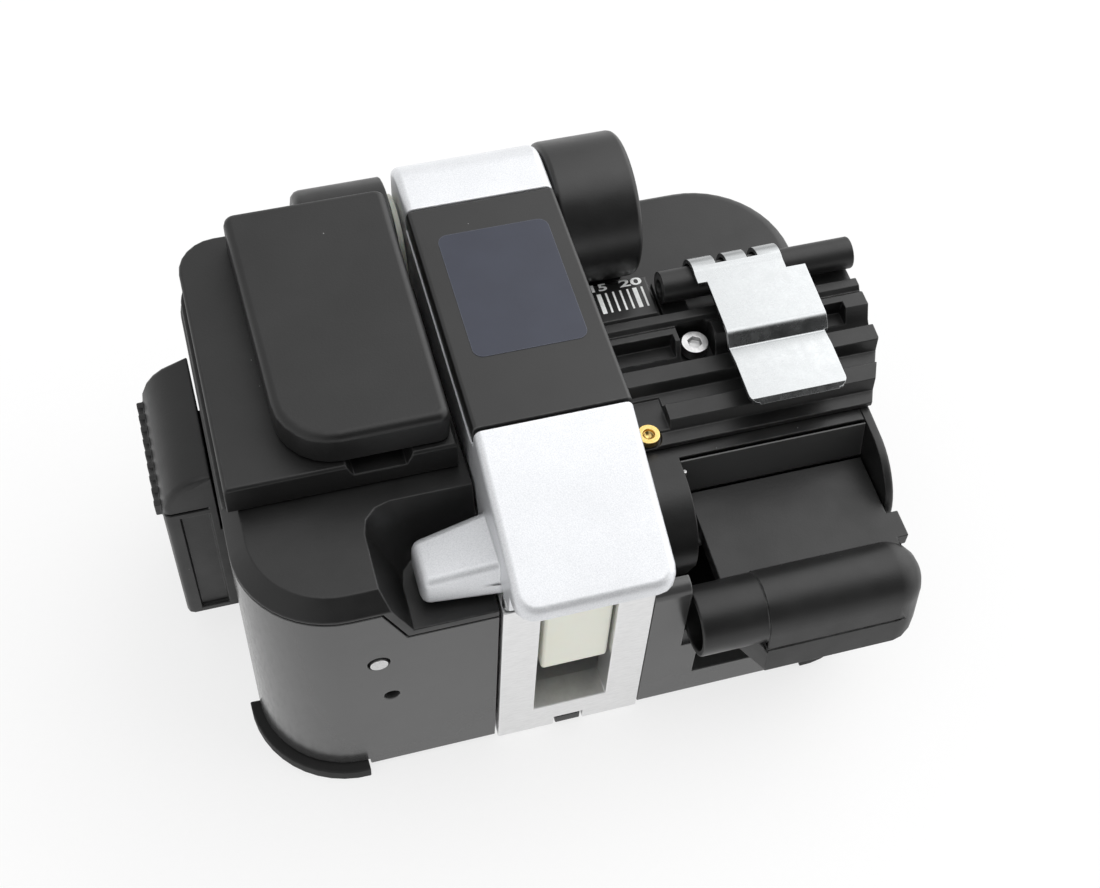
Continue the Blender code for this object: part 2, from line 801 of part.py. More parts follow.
def make_base_plate(pockets):
    inset = WALL + GAP
    front = FRONT_Y + inset
    left = LEFT_X + inset
    right = RIGHT_X - inset
    left_back = LEFT_REAR_Y - inset
    right_back = RIGHT_REAR_Y - inset
    outline = rounded(
        [
            (left, front, CORNER_R - inset),
            (right, front, CORNER_R - inset),
            (right, right_back, REAR_RIGHT_R - inset),
            (-FRAME_HALF, right_back),
            (-FRAME_HALF, left_back),
            (left, left_back, REAR_LEFT_R - inset),
        ]
    )
    plate = part(prism("base_plate", [outline], GROUND, BASE_TOP, "Z"), MATTE_BLACK, ROOT)
    side = HOUSING_SIDE
    cut(plate, box("front_plate_bay", (-side, -OVER, -OVER), (side, FRONT_PLATE + GAP, BASE_TOP + OVER)))
    # A tongue of the plate fills the notch in the frame's front.
    tongue = NOTCH_HALF - GAP
    tongue_high = (tongue, FRONT_PLATE + OVER, BASE_TOP)
    join(plate, box("notch_tongue", (-tongue, TONGUE_INSET, GROUND), tongue_high))
    cut(plate, *pockets)


def arm_sweep():
    """How far from the hinge the arm's round back reaches as it swings."""
    along = ARM_BACK - ARM_BACK_R
    up = ARM_RISE - ARM_BACK_R
    return math.hypot(along, up) + ARM_BACK_R


def make_chassis():
    """A machined channel with a windowed front plate, clamp ledges and the hinge's lugs."""
    front = rectangle(-FRAME_HALF, GROUND, FRAME_HALF, FRAME_TOP)
    frame = prism("chassis_frame", [front], 0, FRONT_PLATE, "Y")
    part(frame, ALUMINIUM, ROOT)
    profile = [
        (-FRAME_HALF, CHANNEL_LOW),
        (FRAME_HALF, CHANNEL_LOW),
        (FRAME_HALF, FRAME_TOP),
        (CHANNEL_HALF, FRAME_TOP),
        (CHANNEL_HALF, CHANNEL_TOP),
        (-CHANNEL_HALF, CHANNEL_TOP),
        (-CHANNEL_HALF, FRAME_TOP),
        (-FRAME_HALF, FRAME_TOP),
    ]
    channel = prism("channel", [profile], FRONT_PLATE - GAP, FRAME_DEPTH, "Y")
    # The walls are cut away below the arm's round back, which swings down behind them.
    wide = 2 * FRAME_HALF
    cut(channel, rod("arm_room", arm_sweep() + SWING, -wide, wide, "X", HINGE, 2 * ROUND_SIDES))
    join(frame, channel)
    sill = GROUND + WINDOW_SILL
    deep = FRONT_PLATE + OVER
    cut(frame, box("window", (-WINDOW_HALF, -OVER, sill), (WINDOW_HALF, deep, FRAME_TOP + OVER)))
    cut(frame, box("notch", (-NOTCH_HALF, -OVER, -OVER), (NOTCH_HALF, deep, GROUND + NOTCH_HEIGHT)))
    foot = HINGE_Z - LUG_R - LUG_FOOT
    stem = rectangle(HINGE_Y - LUG_HALF, foot, HINGE_Y + LUG_HALF, HINGE_Z)
    ledge_low = LEDGE_HIGH - LEDGE_THICK
    for side in (-1, 1):
        inner, outer = sorted((side * (LUG_OUTER - LUG_THICK), side * LUG_OUTER))
        join(frame, prism("lug_stem", [stem], inner, outer, "X"))
        join(frame, rod("lug_eye", LUG_R, inner, outer, "X", HINGE))
        near, far = sorted((side * LUG_OUTER, side * (CHANNEL_HALF - LEDGE_WIDTH)))
        ledge_front = (near, FIBRE_Y - PAD_HALF_Y, ledge_low)
        join(frame, box("ledge", ledge_front, (far, FIBRE_Y + PAD_HALF_Y, LEDGE_HIGH)))
    cut(frame, rod("shaft_bore", SHAFT_R + PLAY, -FRAME_HALF, FRAME_HALF, "X", HINGE))


def make_housings(pockets):
    left = prism("left_housing", [left_plan()], GROUND, LEFT_TOP, "Z")
    part(left, GLOSS_BLACK, ROOT)
    cut(left, prism("left_inside", [left_plan(WALL, 0)], -OVER, LEFT_TOP + OVER, "Z"))
    tray = GAP + PLAY
    mouth_low = (LEFT_X - OVER, BIN_FRONT - tray, BIN_LOW - tray)
    cut(left, box("bin_mouth", mouth_low, (LEFT_X + 2 * WALL, BIN_BACK + tray, BIN_TRAY_TOP + tray)))
    cut(left, recess_box("recess_seat", RECESS_WALL + GAP, RECESS_FLOOR - RECESS_WALL - GAP, DECK_TOP, OVER))
    cut(left, rod("knuckle_room", KNUCKLE_R + SWING, KNUCKLE_LEFT - SWING, 0, "X", HINGE))
    cut(left, rod("wall_hole", WALL_HOLE_R, -OVER, 2 * WALL, "Y", (WALL_HOLE_X, WALL_HOLE_Z), 16))
    place = (WALL_PIN_X, WALL_PIN_Z)
    cut(left, rod("wall_pin_hole", WALL_PIN_R + PLAY, -OVER, 2 * WALL, "Y", place, 16))
    cut(left, *pockets)
    pin = rod("wall_pin", WALL_PIN_R, FRONT_Y - WALL_PIN_PROUD, FRONT_Y + WALL, "Y", place, 20)
    part(pin, STEEL, ROOT)

    wall_top = RIGHT_TOP + FRONT_WALL_RISE
    right = prism("right_housing", [right_plan()], GROUND, wall_top, "Z")
    part(right, GLOSS_BLACK, ROOT)
    soften(right, FRONT_WALL_EDGE, 4, lambda m, d: m.z > wall_top - GAP and m.y < FRONT_Y + GAP)
    # Beside the frame the front wall stands higher than the deck's seat.
    seat = [(0, FRONT_Y + WALL), (LEVER_CUT_LEFT, FRONT_Y + WALL), (LEVER_CUT_LEFT, -OVER)]
    seat += [(2 * RIGHT_X, -OVER), (2 * RIGHT_X, 2 * FRAME_DEPTH), (0, 2 * FRAME_DEPTH)]
    cut(right, prism("deck_seat", [seat], RIGHT_TOP, wall_top + OVER, "Z"))
    cut(right, prism("right_inside", [right_plan(WALL, 0)], -OVER, wall_top + OVER, "Z"))
    low = EAR_LOW - GAP
    cut(right, box("lever_room", (LEVER_CUT_LEFT, -OVER, low), (2 * RIGHT_X, EAR_BACK + GAP, RDECK_TOP)))
    window_low = (LEVER_WINDOW_LEFT, -OVER, SKIRT_LOW - LEVER_WINDOW_DROP)
    window_high = (RIGHT_X - LEVER_WINDOW_INSET, FRONT_Y + CORNER_R, low + OVER)
    cut(right, box("lever_window", window_low, window_high))
    cut(right, *pockets)


def make_left_deck():
    """The matte top of the left housing, with the finger recess and the drive roller's hangers."""
    deck = prism("left_deck", [left_plan()], DECK_LOW, DECK_TOP, "Z")
    soften(deck, DECK_RIM, 1, lambda m, d: m.z > DECK_TOP - GAP and m.x < -HOUSING_SIDE - GAP)
    part(deck, MATTE_BLACK, ROOT)
    deep = 2 * FRAME_DEPTH
    body = recess_box("recess_body", RECESS_WALL, RECESS_FLOOR - RECESS_WALL, DECK_LOW + GAP, 0)
    cut(body, box("recess_trim", (-HOUSING_SIDE, -deep, 0), (deep, deep, deep)))
    cut(body, box("recess_front_trim", (-deep, -deep, 0), (deep, FRONT_Y, deep)))
    join(deck, body)
    cut(deck, recess_box("recess", 0, RECESS_FLOOR, DECK_TOP + OVER, OVER))
    # The wide rim stops where the collector's plate starts, so that the plate has a bed up to its edge.
    bed_plan = left_plan(GAP, -HOUSING_SIDE - GAP)
    bed = prism("plate_bed", [bed_plan], DECK_LOW + GAP, DECK_TOP - GAP / 2, "Z")
    cut(bed, box("bed_trim", (-deep, -deep, 0), (deep, PLATE_FRONT + OVER, deep)))
    join(deck, bed)
    bay_front = HINGE_Y - KNUCKLE_R - SWING
    knuckle = box("knuckle_bay", (KNUCKLE_LEFT - SWING, bay_front, 0), (0, deep, deep))
    cut(deck, knuckle)
    for y in hanger_fronts():
        hanger_low = (ROLLER_X - HANGER_HALF, y, DRIVE_Z - HANGER_HALF)
        join(deck, box("hanger", hanger_low, (ROLLER_X + HANGER_HALF, y + HANGER_THICK, DECK_LOW + GAP)))
    near, far = hanger_fronts()
    shaft = (ROLLER_X, DRIVE_Z)
    bore = rod("drive_bore", ROLLER_SHAFT_R + PLAY, near - OVER, far + HANGER_THICK + OVER, "Y", shaft, 16)
    cut(deck, bore)
    cut(deck, roller_window("deck_window", far))

    corners = [(-KNUCKLE_SIDE, PLATE_FRONT), (-KNUCKLE_SIDE, HINGE_Y + PLATE_BACK)]
    corners += [(LEFT_X + PLATE_INSET, HINGE_Y + PLATE_BACK, PLATE_CORNER_R)]
    corners += [(LEFT_X + PLATE_INSET, PLATE_FRONT)]
    plate = prism("deck_plate", [rounded(corners)], PLATE_LOW, PLATE_TOP, "Z")
    soften(plate, DECK_EDGE / 2, 2, above(PLATE_TOP))
    part(plate, MATTE_BLACK, ROOT)
    # The pinch roller's cheeks swing backwards as they rise, so the plate's window runs into the knuckle bay.
    cut(plate, knuckle, roller_window("plate_window", bay_front + OVER))
    # A thumb goes under the cover's front edge here.
    notch_low = PLATE_TOP - THUMB_DEPTH
    notch = [
        (THUMB_LEFT - THUMB_SLOPE, PLATE_TOP + THUMB_DEPTH),
        (THUMB_LEFT + THUMB_SLOPE, notch_low),
        (THUMB_RIGHT - THUMB_SLOPE, notch_low),
        (THUMB_RIGHT + THUMB_SLOPE, PLATE_TOP + THUMB_DEPTH),
    ]
    cut(plate, prism("thumb_notch", [notch], PLATE_FRONT - OVER, PLATE_FRONT + THUMB_REACH, "Y"))


def cheek_fronts():
    """Front faces of the two cheeks that carry the pinch roller."""
    near = FIBRE_Y - ROLLER_HALF - PLAY - ROLLER_CHEEK
    return near, FIBRE_Y + ROLLER_HALF + PLAY


def hanger_fronts():
    """Front faces of the two hangers of the drive roller, outside the cheeks."""
    near = cheek_fronts()[0] - 2 * SWING - HANGER_THICK
    return near, cheek_fronts()[1] + ROLLER_CHEEK + SWING


def roller_window(name, back):
    half = ROLLER_R + SWING
    front = hanger_fronts()[0] + HANGER_THICK
    return box(name, (ROLLER_X - half, front, LEFT_TOP - GAP), (ROLLER_X + half, back, COVER_TOP))


def make_cover():
    """The hinged lid of the scrap rollers, with its knuckle on the arm's shaft."""
    back = HINGE_Y - COVER_BACK_INSET
    corners = [
        (COVER_RIGHT, COVER_FRONT, COVER_BACK_R),
        (COVER_RIGHT, back, COVER_BACK_R),
        (COVER_LEFT, back, COVER_BACK_R),
        (COVER_LEFT + COVER_TAPER, COVER_FRONT, COVER_CORNER_R),
    ]
    cover = prism("roller_cover", [rounded(corners)], COVER_LOW, COVER_TOP, "Z")
    soften(cover, COVER_EDGE, 3, above(COVER_TOP))
    part(cover, MATTE_BLACK, COVER)
    wall = COVER_WALL
    inside = [
        (COVER_RIGHT - wall, COVER_FRONT + wall, COVER_BACK_R),
        (COVER_RIGHT - wall, back - wall, COVER_BACK_R),
        (COVER_LEFT + wall, back - wall, COVER_BACK_R),
        (COVER_LEFT + COVER_TAPER + wall, COVER_FRONT + wall, COVER_CORNER_R - wall),
    ]
    cut(cover, prism("cover_inside", [rounded(inside)], COVER_LOW - OVER, COVER_TOP - COVER_ROOF, "Z"))
    knuckle = rod("knuckle", KNUCKLE_R, KNUCKLE_LEFT, -KNUCKLE_SIDE, "X", HINGE)
    join(cover, soften(knuckle, KNUCKLE_EDGE, 3, lambda m, d: m.x < KNUCKLE_LEFT + GAP))
    near, far = cheek_fronts()
    for y in (near, far):
        low_corner = (ROLLER_X - ROLLER_CHEEK_HALF, y, PINCH_Z - ROLLER_CHEEK_HALF)
        high_corner = (ROLLER_X + ROLLER_CHEEK_HALF, y + ROLLER_CHEEK, COVER_TOP - COVER_ROOF / 2)
        join(cover, box("roller_cheek", low_corner, high_corner))
    cut(cover, rod("cover_bore", SHAFT_R + PLAY, KNUCKLE_LEFT + KNUCKLE_END, 0, "X", HINGE))
    pinch = (ROLLER_X, PINCH_Z)
    far_side = far + ROLLER_CHEEK + OVER
    cut(cover, rod("pinch_bore", ROLLER_SHAFT_R + PLAY, near - OVER, far_side, "Y", pinch, 16))


def make_rollers():
    """Each roller is a rubber sleeve on a steel shaft; the sleeve and shaft turn together."""
    near, far = cheek_fronts()
    ends = {
        "pinch": (PINCH, PINCH_Z, near, far + ROLLER_CHEEK),
        "drive": (DRIVE, DRIVE_Z, hanger_fronts()[0], hanger_fronts()[1] + HANGER_THICK),
    }
    for name, (body, height, front, back) in ends.items():
        place = (ROLLER_X, height)
        shaft = rod(name + "_roller_shaft", ROLLER_SHAFT_R, front, back, "Y", place, 16)
        part(shaft, STEEL, body)
        low = FIBRE_Y - ROLLER_HALF
        high = FIBRE_Y + ROLLER_HALF
        sleeve = part(rod(name + "_roller", ROLLER_R, low, high, "Y", place), RUBBER, body)
        cut(sleeve, rod(name + "_bore", ROLLER_SHAFT_R + PLAY, low - OVER, high + OVER, "Y", place, 16))


def make_bin():
    """The scrap bin: a rounded, ribbed head outside the wall and an open tray behind it."""
    head_right = LEFT_X - GAP
    head = [
        (head_right, BIN_LOW),
        (head_right, BIN_HIGH),
        (BIN_HEAD_LEFT, BIN_HIGH, BIN_HEAD_R),
        (BIN_HEAD_LEFT, BIN_LOW),
    ]
    scrap_bin = prism("scrap_bin", [rounded(head)], BIN_FRONT, BIN_BACK, "Y")
    low = BIN_LOW + OVER
    soften(scrap_bin, DECK_EDGE, 2, lambda m, d: abs(d.y) < 0.5 and m.z > low and m.x < head_right - GAP)
    part(scrap_bin, MATTE_BLACK, BIN)
    tray_low = (head_right - BIN_WALL, BIN_FRONT, BIN_LOW)
    join(scrap_bin, box("tray", tray_low, (-HOUSING_SIDE - BIN_TRAY_INSET, BIN_BACK, BIN_TRAY_TOP)))
    inside_low = (head_right + BIN_WALL, BIN_FRONT + BIN_WALL, BIN_LOW + BIN_WALL)
    inside_high = (-HOUSING_SIDE - BIN_TRAY_INSET - BIN_WALL, BIN_BACK - BIN_WALL, BIN_TRAY_TOP + OVER)
    cut(scrap_bin, box("tray_inside", inside_low, inside_high))
    seam = BIN_HIGH - BIN_SEAM
    outside = BIN_HEAD_LEFT - OVER
    shallow = BIN_FRONT + BIN_PANEL_DEPTH
    seam_high = (head_right - BIN_PANEL_EDGE, shallow, seam + BIN_SEAM_HEIGHT)
    cut(scrap_bin, box("head_seam", (outside, BIN_FRONT - OVER, seam), seam_high))
    panel_low = (BIN_HEAD_LEFT + 2 * BIN_PANEL_EDGE, BIN_FRONT - OVER, BIN_LOW + BIN_PANEL_EDGE)
    panel_high = (head_right - BIN_PANEL_EDGE, shallow, seam - BIN_PANEL_EDGE)
    cut(scrap_bin, box("head_panel", panel_low, panel_high))
    pitch = (BIN_BACK - BIN_FRONT) / (GRIP_RIBS + 1)
    high = BIN_HIGH - GRIP_DROP
    for i in range(GRIP_RIBS):
        y = BIN_FRONT + pitch * (i + 0.75)
        rib_low = (BIN_HEAD_LEFT - GRIP_PROUD, y, high - GRIP_HEIGHT)
        join(scrap_bin, box("grip_rib", rib_low, (BIN_HEAD_LEFT + GRIP_PROUD, y + pitch / 2, high)))


def arm_slope():
    return ARM_LIP_FALL / (INLAY_FRONT + ARM_LIP)


def arm_outline(inset):
    """The arm's side outline, drawn in by a wall's thickness, and open below for an inset."""
    top = ARM_TOP - inset
    back = HINGE_Y + ARM_BACK
    front = inset - ARM_LIP
    lip = ARM_LIP_TOP + inset * (arm_slope() - math.hypot(1, arm_slope()))
    knee = INLAY_FRONT - inset * (math.hypot(1, arm_slope()) - 1) / arm_slope()
    corner = (back - ARM_BACK_R, ARM_TOP - ARM_BACK_R)
    outline = arc(corner, ARM_BACK_R - inset, 0, 90) + [(knee, top), (front, lip)]
    if inset:
        below = HINGE_Z - ARM_BACK - OVER
        return outline + [(front, below), (back - inset, below)]
    # Below the lip the cheeks step back to the frame.
    outline += [(front, ARM_LIP_LOW), (-ARM_JAW, ARM_LIP_LOW), (-ARM_JAW, ARM_JAW_LOW)]
    outline += [(TAB_FRONT, ARM_JAW_LOW), (TAB_FRONT + ARM_JAW_LOW - ARM_LOW, ARM_LOW)]
    meet = 180 + math.degrees(math.asin((HINGE_Z - ARM_LOW) / ARM_BACK))
    return outline + arc(HINGE, ARM_BACK, meet, 360, 2 * ARC_STEPS)


def arm_rear_corner(name, side):
    """What rounds the arm's rear corner off in plan, at the left (-1) or right (1)."""
    edge = side * FRAME_HALF
    back = HINGE_Y + ARM_BACK
    middle = (edge - side * ARM_REAR_R, back - ARM_REAR_R)
    turn = arc(middle, ARM_REAR_R, 90 - 90 * side, 90)
    outside = edge + side * OVER
    outline = turn + [(middle[0], back + OVER), (outside, back + OVER), (outside, middle[1])]
    low = HINGE_Z - ARM_BACK - OVER
    return prism(name, [outline if side > 0 else outline[::-1]], low, ARM_TOP + OVER, "Z")


def make_arm():
    """The arm is a cast channel with its mouth down, hinged at the back and lipped at the front."""
    arm = prism("arm_casting", [arm_outline(0)], -FRAME_HALF, FRAME_HALF, "X")
    soften(arm, ARM_CORNER_R, 4, lambda m, d: abs(d.z) > 0.5 and m.y < GAP - ARM_LIP)
    lip_back = ARM_CORNER_R - ARM_LIP
    soften(arm, ARM_EDGE, 4, lambda m, d: m.z > ARM_LIP_TOP - GAP and (abs(d.x) < 0.5 or m.y < lip_back))
    part(arm, SILVER_PAINT, ARM)
    cut(arm, arm_rear_corner("rear_corner_left", -1), arm_rear_corner("rear_corner_right", 1))
    cut(arm, prism("arm_inside", [arm_outline(ARM_WALL)], -ARM_INSIDE, ARM_INSIDE, "X"))
    # The back wall stops above the lugs, which it would meet as the arm opens.
    open_low = (-ARM_INSIDE, HINGE_Y, HINGE_Z - ARM_BACK - OVER)
    open_high = (ARM_INSIDE, HINGE_Y + ARM_BACK + OVER, HINGE_Z + ARM_BACK_OPEN)
    cut(arm, box("arm_back_open", open_low, open_high))
    bed_low = (-ARM_INSIDE - GAP, INLAY_FRONT - OVER, INLAY_BED - ARM_WALL)
    join(arm, box("inlay_bed", bed_low, (ARM_INSIDE + GAP, INLAY_BACK + OVER, ARM_TOP - ARM_WALL / 2)))
    pocket_low = (-2 * FRAME_HALF, INLAY_FRONT - GAP, INLAY_BED)
    cut(arm, box("inlay_pocket", pocket_low, (2 * FRAME_HALF, INLAY_BACK + GAP, ARM_TOP + OVER)))
    cut(arm, rod("arm_bore", SHAFT_R + PLAY, -2 * FRAME_HALF, 2 * FRAME_HALF, "X", HINGE))
    join(arm, arm_tab())

    inlay_low = (-FRAME_HALF, INLAY_FRONT, ARM_TOP - INLAY_THICK)
    inlay = box("arm_inlay", inlay_low, (FRAME_HALF, INLAY_BACK, ARM_TOP))
    soften(inlay, INLAY_CHAMFER, 2, lambda m, d: m.z > ARM_TOP - GAP and abs(d.y) > 0.9)
    part(inlay, SATIN_BLACK, ARM)

    half = ARM_INSIDE - SWING
    holder_high = (half, FIBRE_Y + HOLDER_HALF_Y, INLAY_BED - ARM_WALL - GAP)
    part(box("clamp_holder", (-half, FIBRE_Y - HOLDER_HALF_Y, HOLDER_LOW), holder_high), MATTE_BLACK, ARM)
    pad_pair("upper", FIBRE_Z + PAD_SPLIT, HOLDER_LOW - GAP, ARM)
    anvil_low = (-ANVIL_HALF_X, FIBRE_Y - ANVIL_HALF_Y, FIBRE_Z + ANVIL_LIFT)
    anvil_high = (ANVIL_HALF_X, FIBRE_Y + ANVIL_HALF_Y, HOLDER_LOW - GAP)
    part(box("upper_anvil", anvil_low, anvil_high), STEEL, ARM)

    front_roof = ARM_LIP_TOP + (BLOCK_FRONT + ARM_LIP) * arm_slope()
    block_top = front_roof - ARM_WALL * math.hypot(1, arm_slope()) - GAP
    block_low = FRAME_TOP - BLOCK_REACH
    block_left = BLOCK_LEFT_PLAY - WINDOW_HALF
    block_right = WINDOW_HALF - BLOCK_PLAY
    block = box("drive_block", (block_left, BLOCK_FRONT, block_low), (block_right, BLOCK_BACK, block_top))
    soften(block, BLOCK_CHAMFER, 1, lambda m, d: m.z < block_low + GAP or abs(d.z) > 0.9)
    part(block, IVORY, ARM)


def arm_tab():
    """The finger tab at the arm's left: it tapers in plan and its top falls to the left."""
    low = RECESS_FLOOR + TAB_LIFT
    tab_high = (-FRAME_HALF + ARM_CHEEK / 2, TAB_BACK, low + TAB_HEIGHT)
    tab = box("finger_tab", (-FRAME_HALF - TAB_REACH, TAB_FRONT, low), tab_high)
    for vertex in tab.data.vertices:
        if vertex.co.x < 0:
            vertex.co.y *= 1 - 2 * TAB_TAPER / (TAB_BACK - TAB_FRONT)
            if vertex.co.z > 0:
                vertex.co.z -= TAB_DROP
    return soften(tab, TAB_EDGE, 3, lambda m, d: m.x < -FRAME_HALF)


def pad_pair(name, low, high, body):
    outer = CHANNEL_HALF - SWING
    for word, side in (("left", -1), ("right", 1)):
        near, far = sorted((side * (outer - PAD_WIDTH), side * outer))
        corner = (far, FIBRE_Y + PAD_HALF_Y, high)
        pad = box(f"{name}_clamp_{word}", (near, FIBRE_Y - PAD_HALF_Y, low), corner)
        part(pad, RUBBER, body)


def make_hinge():
    """The shaft, its washer, the fixed barrel at its right end and the spring that lifts the arm."""
    left = KNUCKLE_LEFT + KNUCKLE_END + GAP
    right = BARREL_END - BARREL_WALL / 2 - GAP
    part(rod("hinge_shaft", SHAFT_R, left, right, "X", HINGE), STEEL, ROOT)
    washer = rod("hinge_washer", WASHER_R, -WASHER_SIDE - WASHER_THICK, -WASHER_SIDE, "X", HINGE)
    part(washer, IVORY, ROOT)
    cut(washer, rod("washer_bore", SHAFT_R + PLAY, -KNUCKLE_SIDE, 0, "X", HINGE))
    barrel = rod("hinge_barrel", BARREL_R, BARREL_LEFT, BARREL_END, "X", HINGE, 48)
    soften(barrel, BARREL_EDGE, 3, lambda m, d: True)
    part(barrel, SATIN_BLACK, ROOT)
    half = BARREL_FOOT_HALF
    foot_low = (BARREL_LEFT + BARREL_EDGE, HINGE_Y - half, RDECK_TOP + GAP)
    join(barrel, box("barrel_foot", foot_low, (BARREL_END - BARREL_EDGE, HINGE_Y + half, HINGE_Z)))
    cavity = BARREL_R - BARREL_WALL
    cut(barrel, rod("spring_room", cavity, 0, BARREL_END - BARREL_WALL, "X", HINGE))
    cut(barrel, rod("shaft_end", SHAFT_R + PLAY, 0, BARREL_END - BARREL_WALL / 2, "X", HINGE))
    start = BARREL_LEFT + SPRING_WIRE_R + GAP
    coil = helix(start, HINGE, SPRING_R, SPRING_TURNS, SPRING_PITCH)
    end = coil[-1]
    coil.append((end[0] + SPRING_WIRE_R, HINGE_Y + cavity - SPRING_WIRE_R - GAP, end[2]))
    part(wire("arm_spring", coil, SPRING_WIRE_R), STEEL, ROOT)
    print("arm spring: least gap between turns", round((SPRING_PITCH - 2 * SPRING_WIRE_R) * 1000, 3), "mm")


def make_carriage():
    """The blade carriage rides on the rail in the channel and holds the blade on its axle."""
    rail_low = (-RAIL_HALF, RAIL_FRONT, CHANNEL_TOP + GAP)
    rail = box("slide_rail", rail_low, (RAIL_HALF, FRAME_DEPTH - RAIL_BACK_INSET, RAIL_TOP))
    part(rail, STEEL, ROOT)
    low = CHANNEL_TOP + SWING
    reach = RAIL_HALF + PLAY
    over_rail = RAIL_TOP + PLAY
    side = LUG_OUTER - LUG_THICK - SWING
    slot = CARRIAGE_SLOT_HALF
    bottom = BLADE_Z - BLADE_R - CARRIAGE_ROOM
    top = BLADE_Z + CARRIAGE_ABOVE
    outline = [(-side, low), (-reach, low), (-reach, over_rail), (reach, over_rail), (reach, low)]
    outline += [(side, low), (side, top), (slot, top), (slot, bottom)]
    outline += [(-slot, bottom), (-slot, top), (-side, top)]
    front = CARRIAGE_Y - CARRIAGE_HALF_Y
    back = CARRIAGE_Y + CARRIAGE_HALF_Y
    carriage = part(prism("blade_carriage", [outline], front, back, "Y"), ALUMINIUM, CARRIAGE)
    place = (CARRIAGE_Y, BLADE_Z)
    cut(carriage, rod("axle_bore", AXLE_R + PLAY, -2 * side, 2 * side, "X", place, 20))
    part(rod("blade_axle", AXLE_R, -side, side, "X", place, 20), STEEL, CARRIAGE)
    blade = part(rod("blade_disc", BLADE_R, -BLADE_HALF, BLADE_HALF, "X", place, 64), CARBIDE, BLADE)
    join(blade, rod("blade_hub", BLADE_HUB_R, -BLADE_HUB_HALF, BLADE_HUB_HALF, "X", place))
    cut(blade, rod("blade_bore", AXLE_R + PLAY, -side, side, "X", place, 20))
    pad_pair("lower", LEDGE_HIGH + GAP, FIBRE_Z - PAD_SPLIT, ROOT)


def ear_profile():
    outline = arc((EAR_Y, EAR_Z), EAR_R, 90, 190, 2 * ARC_STEPS)
    return outline + [(outline[-1][0] + OVER, EAR_LOW), (EAR_BACK, EAR_LOW), (EAR_BACK, RDECK_TOP)]


def make_right_deck():
    """The right deck, with the two round ears that carry the lever's pin at its front corners."""
    plan = right_plan(0, RDECK_SIDE, RDECK_FRONT, 0)
    deck = prism("right_deck", [plan], RDECK_LOW, RDECK_TOP, "Z")
    low = RDECK_TOP - GAP
    side = RDECK_SIDE + GAP
    soften(deck, RDECK_EDGE, 4, lambda m, d: m.z > low and m.y > EAR_BACK and m.x > side)
    part(deck, MATTE_BLACK, ROOT)
    slope = [(RDECK_FRONT - OVER, RDECK_LOW - OVER), (RDECK_FRONT + RDECK_SLOPE, RDECK_LOW - OVER)]
    slope += [(RDECK_FRONT, RDECK_TOP + OVER), (RDECK_FRONT - OVER, RDECK_TOP + OVER)]
    cut(deck, prism("deck_front_slope", [slope], 0, 2 * RIGHT_X, "X"))
    ear_left = RIGHT_X - RIGHT_EAR_WIDTH
    left_ear = prism("left_ear", [ear_profile()], RDECK_SIDE, LEFT_EAR_RIGHT, "X")
    right_ear = prism("right_ear", [ear_profile()], ear_left, RIGHT_X, "X")
    soften(right_ear, EAR_EDGE, 2, lambda m, d: m.x > RIGHT_X - GAP and m.y < EAR_Y)
    join(deck, left_ear, right_ear)
    wall_front = LEVER_PIN_Y + LEVER_HUB_R + SWING
    wall_low = (LEFT_EAR_RIGHT - OVER, wall_front, EAR_LOW + GAP)
    wall_high = (ear_left + RIGHT_EAR_WIDTH / 2, wall_front + RECESS_BACK_WALL, RDECK_LOW + RDECK_THICK / 2)
    join(deck, box("lever_recess_wall", wall_low, wall_high))
    pin_end = RIGHT_X - RIGHT_EAR_WIDTH / 2
    cut(deck, rod("ear_bore", LEVER_PIN_R + PLAY, 0, pin_end, "X", LEVER_PIN, 20))
    coil = LEVER_SPRING_TURNS * LEVER_SPRING_PITCH + 4 * LEVER_SPRING_WIRE_R
    room_left = LEFT_EAR_RIGHT - coil
    cut(deck, rod("lever_spring_room", LEVER_SPRING_POCKET_R, room_left, LEVER_LEFT, "X", LEVER_PIN))


